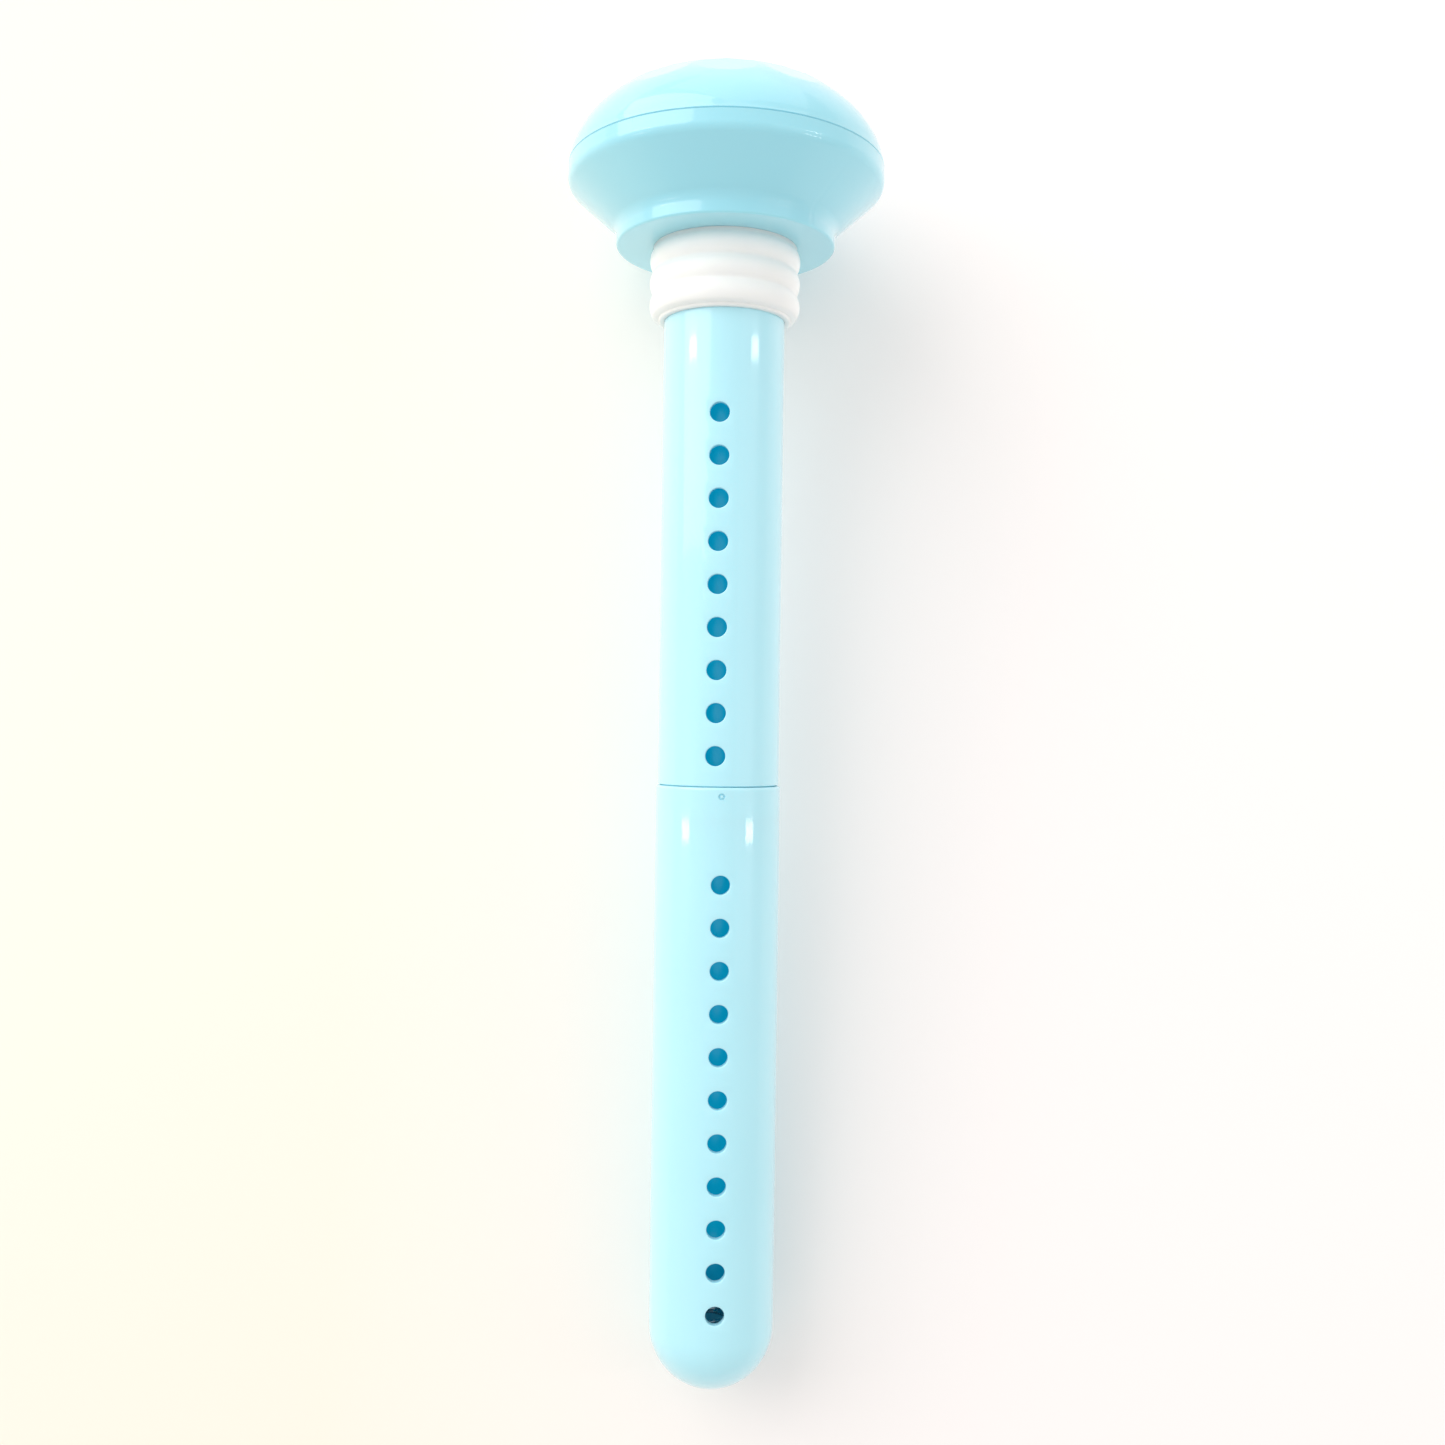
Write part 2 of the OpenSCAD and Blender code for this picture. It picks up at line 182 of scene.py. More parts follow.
def bump(tree, shader, height, strength, distance):
    made = node_in(tree, "ShaderNodeBump", {"Strength": strength, "Distance": distance})
    tree.links.new(height, made.inputs["Height"])
    tree.links.new(made.outputs["Normal"], shader.inputs["Normal"])


def new_material(name, colour, roughness, metallic=0.0, coat=0.0, **more):
    material = bpy.data.materials.new(name)
    material.use_nodes = True
    tree = material.node_tree
    shader = tree.nodes["Principled BSDF"]
    shader.inputs["Base Color"].default_value = (*colour, 1)
    shader.inputs["Roughness"].default_value = roughness
    shader.inputs["Metallic"].default_value = metallic
    shader.inputs["Coat Weight"].default_value = coat
    for socket, value in more.items():
        shader.inputs[socket.replace("_", " ")].default_value = value
    return material, tree, shader


def drive(tree, shader, colour=None, roughness=None):
    """Links outputs to the shader's colour and roughness."""
    for socket, source in (("Base Color", colour), ("Roughness", roughness)):
        if source:
            tree.links.new(source, shader.inputs[socket])


def shade(colour, amount):
    return tuple(max(0.0, min(1.0, c * amount)) for c in colour)


def moulded_plastic(name, colour, roughness, scratches=True, coat=0.6):
    """Glossy moulded plastic: cloudy pigment, faint flow marks and a few handling scratches."""
    material, tree, shader = new_material(name, colour, roughness, coat=coat, Coat_Roughness=0.05,
                                          Subsurface_Weight=0.12, Subsurface_Scale=0.002,
                                          Subsurface_Radius=(0.6, 1.0, 1.1))
    where = object_coords(tree)
    cloud = ramp(tree, noise(tree, where, 45.0, 1.0), 0.1, 0.9)
    pigment = blend_colours(tree, cloud, shade(colour, 0.98), shade(colour, 1.015))
    fine = noise(tree, where, 2600.0, 5.0)
    smear = ramp(tree, noise(tree, where, 140.0, 2.0), 0.2, 0.85, roughness * 0.9, roughness * 1.15)
    if scratches:
        streak = noise(tree, where, 900.0, 2.0, (1.0, 1.0, 0.045))
        few = ramp(tree, noise(tree, where, 95.0, 1.0), 0.66, 0.7)
        thin = ramp(tree, streak, 0.775, 0.8)
        mark = node_in(tree, "ShaderNodeMath", operation="MULTIPLY")
        tree.links.new(thin, mark.inputs[0])
        tree.links.new(few, mark.inputs[1])
        pigment = blend_colours(tree, mark.outputs[0], pigment, shade(colour, 0.7))
    drive(tree, shader, pigment, smear)
    bump(tree, shader, fine, 0.006, 0.0002)
    return material


def painted_inner_glow(material, glow):
    """Painted light: a faint emission that stands in for the light reaching a part through the translucent
    walls around it.
    """
    shader = material.node_tree.nodes["Principled BSDF"]
    shader.inputs["Emission Color"].default_value = (*glow, 1)
    shader.inputs["Emission Strength"].default_value = 1.0
    return material


def soft_silicone(name, colour):
    """Matt silicone with a powdery skin that lets light through."""
    material, tree, shader = new_material(name, colour, 0.42, Subsurface_Weight=0.35,
                                          Subsurface_Scale=0.002, Subsurface_Radius=(1.0, 1.0, 0.9),
                                          Sheen_Weight=0.15)
    where = object_coords(tree)
    cloud = ramp(tree, noise(tree, where, 160.0, 4.0), 0.3, 0.7)
    skin = blend_colours(tree, cloud, colour, shade(colour, 0.96))
    drive(tree, shader, skin, ramp(tree, noise(tree, where, 420.0, 5.0), 0.3, 0.7, 0.36, 0.5))
    bump(tree, shader, noise(tree, where, 1900.0, 4.0), 0.02, 0.0003)
    return material


def black_rubber(name):
    """Matt black rubber with uneven wear."""
    material, tree, shader = new_material(name, (0.018, 0.018, 0.02), 0.5)
    where = object_coords(tree)
    drive(tree, shader, roughness=ramp(tree, noise(tree, where, 700.0, 4.0), 0.3, 0.7, 0.4, 0.62))
    bump(tree, shader, noise(tree, where, 3000.0, 3.0), 0.05, 0.0002)
    return material


def worked_metal(name, colour, roughness, lines=(1.0, 1.0, 0.08)):
    """Metal with fine drawn lines along one axis."""
    material, tree, shader = new_material(name, colour, roughness, metallic=1.0)
    where = object_coords(tree)
    drawn = noise(tree, where, 1800.0, 4.0, lines)
    brushed = ramp(tree, drawn, 0.3, 0.7, roughness * 0.7, roughness * 1.5)
    drive(tree, shader, blend_colours(tree, drawn, shade(colour, 0.85), colour), brushed)
    bump(tree, shader, drawn, 0.06, 0.0001)
    return material


def micro_mesh(name):
    """Steel plate whose centre is full of tiny laser holes, drawn as dark dots of painted shade."""
    steel, hole_shade = (0.62, 0.6, 0.56), (0.06, 0.055, 0.05)
    material, tree, shader = new_material(name, steel, 0.3, metallic=1.0)
    where = object_coords(tree)
    dots = node_in(tree, "ShaderNodeTexVoronoi", {"Scale": 5200.0, "Randomness": 0.15})
    tree.links.new(where, dots.inputs["Vector"])
    hole = ramp(tree, dots.outputs["Distance"], 0.2, 0.32)
    flat = node_in(tree, "ShaderNodeVectorMath", operation="MULTIPLY")
    flat.inputs[1].default_value = (1, 1, 0)
    tree.links.new(where, flat.inputs[0])
    radius = node_in(tree, "ShaderNodeVectorMath", operation="LENGTH")
    tree.links.new(flat.outputs[0], radius.inputs[0])
    outside = ramp(tree, radius.outputs["Value"], 0.0027, 0.0029)
    keep = node_in(tree, "ShaderNodeMath", operation="MAXIMUM")
    tree.links.new(hole, keep.inputs[0])
    tree.links.new(outside, keep.inputs[1])
    # Painted shade: the holes are dark dots in the steel's colour, where the shade inside each hole would be.
    drive(tree, shader, blend_colours(tree, keep.outputs[0], hole_shade, steel))
    bump(tree, shader, keep.outputs[0], 0.3, 0.0001)
    return material


def cotton_fibre(name):
    """Pressed cotton: long fibres along the stick, off-white, with painted shade in the small gaps between
    them.
    """
    material, tree, shader = new_material(name, (0.85, 0.82, 0.74), 0.9, Sheen_Weight=0.4)
    where = object_coords(tree)
    fibres = noise(tree, where, 1500.0, 6.0, (1.0, 1.0, 0.05))
    lumps = ramp(tree, noise(tree, where, 260.0, 4.0), 0.3, 0.75)
    # Painted shade: the darker tone between the fibres stands for the shade in the gaps.
    base = blend_colours(tree, ramp(tree, fibres, 0.32, 0.62), (0.62, 0.58, 0.49), (0.9, 0.88, 0.82))
    drive(tree, shader, blend_colours(tree, lumps, base, (0.93, 0.91, 0.86)))
    bump(tree, shader, fibres, 0.6, 0.0004)
    return material


def solder_mask(name):
    """Green board lacquer with copper tracks showing through and a glassy finish."""
    material, tree, shader = new_material(name, (0.01, 0.1, 0.04), 0.25, coat=0.5)
    where = object_coords(tree)
    tracks = node_in(tree, "ShaderNodeTexBrick", {"Scale": 420.0, "Mortar Size": 0.08, "Mortar Smooth": 0.1})
    tree.links.new(where, tracks.inputs["Vector"])
    speckle = noise(tree, where, 900.0, 4.0)
    green = blend_colours(tree, speckle, (0.008, 0.085, 0.035), (0.014, 0.13, 0.05))
    drive(tree, shader, blend_colours(tree, tracks.outputs["Fac"], green, (0.03, 0.2, 0.07)))
    bump(tree, shader, tracks.outputs["Fac"], 0.1, 0.00005)
    return material


def dull_moulding(name, colour, roughness=0.55):
    """Matt epoxy or ferrite with a fine grain."""
    material, tree, shader = new_material(name, colour, roughness)
    where = object_coords(tree)
    grain = noise(tree, where, 4200.0, 3.0)
    speckled = blend_colours(tree, grain, shade(colour, 0.8), shade(colour, 1.25))
    patches = ramp(tree, noise(tree, where, 600.0, 3.0), 0.3, 0.7, roughness * 0.85, roughness * 1.1)
    drive(tree, shader, speckled, patches)
    bump(tree, shader, grain, 0.15, 0.0001)
    return material


FINISHES = {
    "glossy_shell": lambda name, tone: moulded_plastic(name, tone.shell, 0.33, coat=1.0),
    "glossy_wand": lambda name, tone: moulded_plastic(name, tone.wand, 0.33, coat=0.9),
    # The wick tube and its cup glow with painted light: a faint emission in place of the light that reaches
    # them inside the wand.
    "core_blue": lambda name, tone: painted_inner_glow(
        moulded_plastic(name, tone.core, 0.35, scratches=False, coat=0.1), (0.0, 0.14, 0.21)),
    "cup_blue": lambda name, tone: painted_inner_glow(
        moulded_plastic(name, tone.core, 0.4, scratches=False, coat=0.1), (0.0, 0.07, 0.12)),
    "soft_silicone": lambda name, tone: soft_silicone(name, tone.silicone),
    "soft_rubber": lambda name, tone: black_rubber(name),
    "spring_steel": lambda name, tone: worked_metal(name, (0.6, 0.6, 0.62), 0.22),
    "plated_steel": lambda name, tone: worked_metal(name, (0.66, 0.66, 0.67), 0.28),
    "micro_mesh": lambda name, tone: micro_mesh(name),
    "silvered_ceramic": lambda name, tone: worked_metal(name, (0.72, 0.68, 0.6), 0.42, (1.0, 1.0, 1.0)),
    "cotton_fibre": lambda name, tone: cotton_fibre(name),
    "solder_mask": lambda name, tone: solder_mask(name),
    "black_moulding": lambda name, tone: dull_moulding(name, (0.02, 0.02, 0.022)),
    "sintered_ferrite": lambda name, tone: dull_moulding(name, (0.06, 0.06, 0.065), 0.7),
    "fired_ceramic": lambda name, tone: dull_moulding(name, (0.42, 0.3, 0.18), 0.4),
    "milky_lens": lambda name, tone: moulded_plastic(name, (0.85, 0.82, 0.6), 0.15, scratches=False),
    "red_sleeve": lambda name, tone: dull_moulding(name, (0.5, 0.02, 0.015), 0.4),
    "black_sleeve": lambda name, tone: dull_moulding(name, (0.015, 0.015, 0.016), 0.4),
    "copper": lambda name, tone: worked_metal(name, (0.75, 0.36, 0.16), 0.25),
}
mixed = {}


def paint_for(name):
    """The finish with that name, mixed once."""
    if name not in mixed:
        mixed[name] = FINISHES[name](name, bpy.context.scene.humidifier_colours)
    return mixed[name]


# ---------------------------------------------------------------- shaping

def outline(corners, steps=8, closed=True):
    """Points (radius, height) of an outline whose corners (radius, height, rounding) are rounded."""
    points = []
    for i, (x, z, rounding) in enumerate(corners):
        here = Vector((x, z))
        if rounding <= 0 or (not closed and i in (0, len(corners) - 1)):
            points.append((x, z))
            continue
        before = (Vector(corners[i - 1][:2]) - here).normalized()
        after = (Vector(corners[(i + 1) % len(corners)][:2]) - here).normalized()
        half = before.angle(after) / 2
        centre = here + (before + after).normalized() * rounding / math.sin(half)
        start = here + before * rounding / math.tan(half) - centre
        end = here + after * rounding / math.tan(half) - centre
        turn = math.atan2(start.cross(end), start.dot(end))
        for k in range(steps + 1):
            c, s = math.cos(turn * k / steps), math.sin(turn * k / steps)
            points.append((centre.x + start.x * c - start.y * s, centre.y + start.x * s + start.y * c))
    return points


def levels(start, end, count):
    """count + 1 even values from start to end."""
    return [start + (end - start) * i / count for i in range(count + 1)]


def face_outwards(bm):
    bmesh.ops.recalc_face_normals(bm, faces=bm.faces[:])


def mesh_of(bm, name):
    """The finished mesh of a bmesh, which is freed."""
    mesh = bpy.data.meshes.new(name)
    bm.to_mesh(mesh)
    bm.free()
    return mesh


def shown(name, data):
    """A new object in the scene."""
    made = bpy.data.objects.new(name, data)
    bpy.context.scene.collection.objects.link(made)
    return made


def turned(points, steps, closed=True, start=0.0):
    """A shape turned about the Z axis from an outline of (radius, height)."""
    bm = bmesh.new()
    c, s = math.cos(start), math.sin(start)
    verts = [bm.verts.new((r * c, r * s, z)) for r, z in points]
    pairs = list(zip(verts, verts[1:])) + ([(verts[-1], verts[0])] if closed else [])
    edges = [bm.edges.new(pair) for pair in pairs]
    bmesh.ops.spin(bm, geom=verts + edges, cent=(0, 0, 0), axis=(0, 0, 1), angle=2 * math.pi,
                   steps=steps, use_merge=True)
    bmesh.ops.remove_doubles(bm, verts=bm.verts[:], dist=1e-4)
    bmesh.ops.delete(bm, geom=[e for e in bm.edges if not e.link_faces], context="EDGES")
    face_outwards(bm)
    return bm


def rounded_block(bm, size, place, rounding=0.1, steps=2):
    """Adds a block with rounded edges, set in place by a matrix."""
    made = bmesh.ops.create_cube(bm, size=1.0)["verts"]
    bmesh.ops.scale(bm, vec=size, verts=made)
    edges = list({e for v in made for e in v.link_edges})
    result = bmesh.ops.bevel(bm, geom=edges, offset=rounding, segments=steps, profile=0.5,
                             affect="EDGES", material=-1)
    verts = list({v for v in result["verts"]} | {v for v in made if v.is_valid})
    bmesh.ops.transform(bm, matrix=place, verts=verts)
    return verts


def on_spoke(angle, distance, height, tilt=0.0):
    """A place at a distance and height along the radius at an angle."""
    return (Matrix.Rotation(angle, 4, "Z") @ Matrix.Translation((distance, 0, height))
            @ Matrix.Rotation(tilt, 4, "Y"))


def set_down(bm, place):
    bmesh.ops.transform(bm, matrix=place, verts=bm.verts[:])
    return bm


def joined(*parts):
    """One bmesh that holds all of them."""
    whole = bmesh.new()
    for part in parts:
        mesh = mesh_of(part, "part")
        whole.from_mesh(mesh)
        bpy.data.meshes.remove(mesh)
    return whole


def piece(name, bm, paint, body, node, sharp=38.0):
    """Makes the finished piece of a bmesh in millimetres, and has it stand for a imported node."""
    bmesh.ops.scale(bm, vec=(MM, MM, MM), verts=bm.verts[:])
    mesh = mesh_of(bm, name)
    mesh.shade_smooth()
    mesh.set_sharp_from_angle(angle=math.radians(sharp))
    mesh.materials.append(paint_for(paint))
    made = shown(name, mesh)
    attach(made, body)
    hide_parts(node)
    return made


def repaint(made, paint, chosen):
    """Gives the faces that a test chooses a second finish."""
    made.data.materials.append(paint_for(paint))
    for face in made.data.polygons:
        if chosen(face):
            face.material_index = 1


def carve(made, *cutters):
    """Cuts shapes, given in millimetres, out of a finished piece, and merges the slivers that are left."""
    for i, bm in enumerate(cutters):
        bmesh.ops.scale(bm, vec=(MM, MM, MM), verts=bm.verts[:])
        tool = shown(f"cutter_{i}", mesh_of(bm, "cutter"))
        cut = made.modifiers.new("cut", "BOOLEAN")
        cut.operation = "DIFFERENCE"
        cut.solver = "EXACT"
        cut.object = tool
    bpy.context.view_layer.update()
    result = bpy.data.meshes.new_from_object(made.evaluated_get(bpy.context.evaluated_depsgraph_get()))
    for cut in list(made.modifiers):
        tool = cut.object
        made.modifiers.remove(cut)
        bpy.data.objects.remove(tool)
    bm = bmesh.new()
    bm.from_mesh(result)
    sliver = 0.005 * MM
    bmesh.ops.remove_doubles(bm, verts=bm.verts[:], dist=sliver)
    bmesh.ops.dissolve_degenerate(bm, edges=bm.edges[:], dist=sliver)
    bmesh.ops.holes_fill(bm, edges=[e for e in bm.edges if e.is_boundary], sides=0)
    bm.to_mesh(result)
    bm.free()
    made.data = result


def even_normals(made):
    """Lets the big flats keep their own shading next to the small faces around them."""
    weighted = made.modifiers.new("even_normals", "WEIGHTED_NORMAL")
    weighted.keep_sharp = True
    weighted.weight = 60


# ---------------------------------------------------------------- head

KITES = 12
KITE_CENTRE = 0.763         # share of the head's radius at which the kite flats touch the dome
CROWN_CENTRE = 14 / 23.6    # the same for the crown flats
CROWN_LEAN = math.radians(20)
CROWN_DEPTH = 0.42
LIP_DEPTH = 1.6
ROOF_HEIGHT = 8.4           # height of the cover's inner roof over the split line


def gasket_top_radius():
    """Radius of the housing's cup, which the gasket sits in with a small clearance."""
    return corner_mm("disc_gasket").x + 0.1


def dome_height(size, radius):
    """Height of the smooth dome over a radius."""
    return size["rim_height"] - 1 + size["dome_rise"] * math.sqrt(1 - (radius / size["head_radius"]) ** 2)


def dome_arc(size, inset, start, end, steps):
    """Points of the dome's ellipse, set in by a wall, between two heights."""
    centre = size["rim_height"] - 1
    across = size["head_radius"] - inset
    rise = size["dome_rise"] - inset * 1.1
    first = math.asin((start - centre) / rise)
    last = math.asin((end - centre) / rise)
    return [(across * math.cos(a), centre + rise * math.sin(a)) for a in levels(first, last, steps)]


def cut_flat(bm, angle, tilt, radius, height):
    """Cuts a flat on the dome: a plane through one radius and height that leans down outwards."""
    across = Vector((math.cos(angle), math.sin(angle), 0))
    result = bmesh.ops.bisect_plane(
        bm, geom=bm.verts[:] + bm.edges[:] + bm.faces[:], dist=1e-4,
        plane_co=across * radius + Vector((0, 0, height)),
        plane_no=across * math.sin(tilt) + Vector((0, 0, math.cos(tilt))), clear_outer=True)
    return [e for e in result["geom_cut"] if isinstance(e, bmesh.types.BMEdge)]


def cover_shape(size):
    """The faceted cover: dome, kite flats, crown flats, the table and the outlet's wall."""
    head, rim, table = size["head_radius"], size["rim_height"], size["table_height"]
    outlet, wall = size["outlet_radius"], size["shell_wall"]
    crater = outlet + 0.75
    gasket_top = corner_mm("disc_gasket").z
    chimney = gasket_top_radius() - 0.25
    lip_outer = head - wall - 0.15
    lip_inner = lip_outer - 1.1
    top = dome_height(size, crater)
    outer = [(head - 0.18, rim), (head - 0.02, rim + 0.14)] + dome_arc(size, 0.0, rim + 0.5, top, 46)
    inside = dome_arc(size, wall, rim + 1.2, rim + ROOF_HEIGHT - 0.2, 10)
    funnel = outline([(crater, top, 0), (crater, table - 0.7, 0.0), (outlet, table - 2.0, 1.2),
                      (outlet, gasket_top, 0.15), (chimney, gasket_top, 0.25)], 6, closed=False)
    under = [(chimney, rim + ROOF_HEIGHT)] + inside[::-1]
    lip = [(lip_inner, rim + 1.0), (lip_inner, rim - LIP_DEPTH + 0.15), (lip_inner + 0.2, rim - LIP_DEPTH),
           (lip_outer - 0.2, rim - LIP_DEPTH), (lip_outer, rim - LIP_DEPTH + 0.2), (lip_outer, rim)]
    bm = turned(outer + funnel[1:] + under + lip, HEAD_STEPS, start=FRONT)
    ring = cut_flat(bm, 0.0, 0.0, 0.0, table)
    bmesh.ops.bridge_loops(bm, edges=ring)
    kite, crown = KITE_CENTRE * head, CROWN_CENTRE * head
    slope = math.atan(size["dome_rise"] / head * KITE_CENTRE / math.sqrt(1 - KITE_CENTRE ** 2))
    kite_height = dome_height(size, kite) - size["kite_depth"] / math.cos(slope)
    crown_height = dome_height(size, crown) - CROWN_DEPTH
    for shift, lean, radius, height in ((0.0, slope, kite, kite_height),
                                        (0.5, CROWN_LEAN, crown, crown_height)):
        for k in range(KITES):
            turn = FRONT + 2 * math.pi / KITES * (k + shift)
            bmesh.ops.holes_fill(bm, edges=cut_flat(bm, turn, lean, radius, height), sides=0)
    face_outwards(bm)
    ridges = [e for e in bm.edges if len(e.link_faces) == 2 and is_ridge(e, table)]
    bmesh.ops.bevel(bm, geom=ridges, offset=size["ridge_round"], segments=4, profile=0.5,
                    affect="EDGES", material=-1, clamp_overlap=True)
    return bm


def is_ridge(edge, table):
    """Whether an edge lies between two flats of the crown, or round the outlet's mouth."""
    flat_area, dull, clear, steep = 3, math.radians(7), math.radians(13), math.radians(60)
    small, large = sorted(f.calc_area() for f in edge.link_faces)
    angle = edge.calc_face_angle(0)
    on_top = all(v.co.z > table - 9 for v in edge.verts)
    mouth = all(abs(v.co.z - table) < 0.01 for v in edge.verts) and angle > steep
    flats = large > flat_area and (angle > clear or (small > flat_area and angle > dull))
    return mouth or (on_top and flats)


def prism(size, place, rounding, flare):
    """A rounded cutter that lies along a spoke and flares towards its far end."""
    bm = bmesh.new()
    made = bmesh.ops.create_cube(bm, size=1.0)["verts"]
    bmesh.ops.scale(bm, vec=size, verts=made)
    along = [e for e in bm.edges if abs((e.verts[0].co - e.verts[1].co).normalized().x) > 0.9]
    bmesh.ops.bevel(bm, geom=along, offset=rounding, segments=6, profile=0.5, affect="EDGES",
                    material=-1)
    for v in bm.verts:
        if v.co.x > 0:
            v.co.y += math.copysign(flare, v.co.y)
            v.co.z += math.copysign(flare, v.co.z)
    return set_down(bm, place)


def build_cover():
    """The cover, with its port opening and button hole in the rear wall."""
    cover = piece("cover_shell", cover_shape(sizes()), "glossy_shell", "head", "top_cover", 30)
    port_height, button_height = middle_mm("usb_socket"), middle_mm("power_button")
    wide, tall, corner = 8.1, 3.2, 1.2
    slot = prism((6, wide, tall), on_spoke(REAR_PORT, 22.0, port_height), corner, 0.0)
    mouth = prism((1.2, wide, tall), on_spoke(REAR_PORT, 23.3, port_height), corner, 0.8)
    bore = turned([(0, -3), (2.26, -3), (2.26, 2.0), (2.9, 3.2), (0, 3.2)], 72, closed=False)
    set_down(bore, on_spoke(REAR_BUTTON, 20.6, button_height, math.radians(90)))
    carve(cover, slot, mouth, bore)
    even_normals(cover)
    return cover


def housing_outline(size):
    """Outline of the lower housing: flange, neck, funnel, rim band, cup and the wand's socket."""
    head, rim, neck, wall = size["head_radius"], size["rim_height"], size["neck_radius"], size["shell_wall"]
    foot, top = size["neck_height"], rim - 2.5
    tube = size["upper_radius"] + TUBE_FIT
    cup = gasket_top_radius()
    column, floor = cup + 1.4, 2.0
    throat, shoulder = 7.0, 9.2
    cup_floor = foot_mm("disc_gasket").z
    cup_top = corner_mm("lower_shell").z
    lift = wall * math.hypot(head - neck, top - foot) / (head - neck)
    slope = (top - foot) / (head - neck)
    inside = head - wall - 0.1
    return outline([
        (tube, 0, 0.25), (neck, 0, 0.35), (neck, foot, 2.4), (head, top, 1.7), (head, rim - 0.12, 0.0),
        (head - 0.14, rim, 0.0), (inside, rim, 0.1), (inside, foot + lift + (inside - neck) * slope, 0.8),
        (neck - wall, foot + lift - wall * slope, 0.8), (neck - wall, floor, 0.5), (column, floor, 0.5),
        (column, cup_top, 0.3), (cup, cup_top, 0.2), (cup, cup_floor, 0.2), (throat, cup_floor, 0.2),
        (throat, shoulder, 0.2), (tube, shoulder, 0.1)], 12)


def build_housing():
    """The housing, with the mould's witness line sunk along its neck."""
    size = sizes()
    neck = size["neck_radius"]
    bm = turned(housing_outline(size), HEAD_STEPS, start=FRONT)
    seam, sunk = FRONT + math.radians(48.75), 0.05
    for v in bm.verts:
        off = abs(math.atan2(v.co.y, v.co.x) - seam) * neck
        if off < sunk and v.co.xy.length > neck - 0.5 and v.co.z < size["neck_height"] + 1.2:
            v.co.xy *= 1 - sunk / neck
    return piece("housing_shell", bm, "glossy_shell", "head", "lower_shell", 32)


# ---------------------------------------------------------------- plug

def build_plug():
    """White silicone plug: three soft ribs with creases between them, and a thin lip."""
    size = sizes()
    bore, rib, height = size["upper_radius"] + TUBE_FIT, size["rib_radius"], size["plug_height"]
    groove = rib - 0.62
    pitch, first, swell, share = 3.35, 0.35, 0.6, 0.93
    bulge = ((pitch / 2) ** 2 + swell ** 2) / (2 * swell)
    half = math.asin(pitch / 2 * share / bulge)
    profile = [(bore, -0.02), (groove + 0.15, -0.02)]
    for i in range(3):
        middle = -first - pitch / 2 - i * pitch
        profile += [(rib - bulge + bulge * math.cos(a), middle - bulge * math.sin(a))
                    for a in levels(-half, half, 14)]
    edge, foot = profile[-1]
    profile += outline([(edge, foot, 0), (groove - 0.5, foot - 0.25, 0.2), (bore + 0.8, foot - 0.3, 0.12),
                        (bore + 0.75, -height, 0.25), (bore, -height, 0.0)], 6, closed=False)[1:]
    bm = turned(profile, 192, start=FRONT)
    return piece("bottle_plug", bm, "soft_silicone", "head", "stopper_sleeve", 55)


# ---------------------------------------------------------------- tubes

class Skin:
    """The faces of one skin of a tube, with their angle and height, so that openings can be cut in it."""

    def __init__(self, bm, radius):
        self.bm, self.radius = bm, radius
        self.faces = []
        for face in bm.faces:
            centre = face.calc_center_median()
            if abs(centre.xy.length - radius) < 0.12 and abs(face.normal.z) < 0.1:
                self.faces.append((face, math.atan2(centre.y, centre.x), centre.z))

    def open(self, angle, height, half_angle, half_height, wide, tall):
        """Cuts an opening and returns the loop of edges round it. A tall one is a slot with round ends."""
        taken = [f for f, a, z in self.faces if f.is_valid and abs(z - height) < half_height
                 and abs((a - angle + math.pi) % (2 * math.pi) - math.pi) < half_angle]
        inside = set(taken)
        border = [e for f in taken for e in f.edges if sum(g in inside for g in e.link_faces) == 1]
        bmesh.ops.delete(self.bm, geom=taken, context="FACES")
        loop = self.ring(angle, height, len(border), wide, tall)
        bmesh.ops.bridge_loops(self.bm, edges=border + loop)
        return loop

    def ring(self, angle, height, segments, wide, tall, depth=0.0):
        """A loop of edges on the skin, or sunk below it: a circle, or a slot if it is tall."""
        verts = bmesh.ops.create_circle(self.bm, segments=segments, radius=1.0)["verts"]
        for v in verts:
            across = v.co.x * wide
            up = v.co.y * wide + math.copysign(tall - wide, v.co.y)
            out = math.sqrt(self.radius ** 2 - across ** 2) - depth
            c, s = math.cos(angle), math.sin(angle)
            v.co = (out * c - across * s, out * s + across * c, height + up)
        return list({e for v in verts for e in v.link_edges})


def bridge_all(bm, loops):
    """Joins each loop of edges to the next with faces."""
    for first, second in zip(loops, loops[1:]):
        bmesh.ops.bridge_loops(bm, edges=first + second)


def perforate(bm, radii, places, half_angle, half_height, wide, tall, edge_round):
    """Cuts openings through both skins of a tube at each (angle, height), with rounded outer edges."""
    outer, inner = (Skin(bm, r) for r in radii)
    for angle, height in places:
        loops = [outer.open(angle, height, half_angle, half_height, wide + edge_round, tall + edge_round)]
        for a in levels(0, math.pi / 2, 3)[1:]:
            spread, depth = edge_round * (1 - math.sin(a)), edge_round * (1 - math.cos(a))
            loops.append(outer.ring(angle, height, len(loops[0]), wide + spread, tall + spread, depth))
        loops.append(inner.open(angle, height, half_angle, half_height, wide, tall))
        bridge_all(bm, loops)
    face_outwards(bm)


def hole_places(turn, start, count, pitch):
    """The (angle, height) of every hole in three rows that run down a tube."""
    return [(FRONT + math.radians(turn + 120 * row), start - i * pitch)
            for row in range(3) for i in range(count)]


def ringed(radius, first, last, pitch, end):
    """Heights of a skin's rings, with eight to each pitch where the holes are."""
    step = pitch / 8
    low, high = last - pitch / 2, first + pitch / 2
    rings = [high - step * k for k in range(int(round((high - low) / step)) + 1)]
    return [(radius, z) for z in rings if z > end]


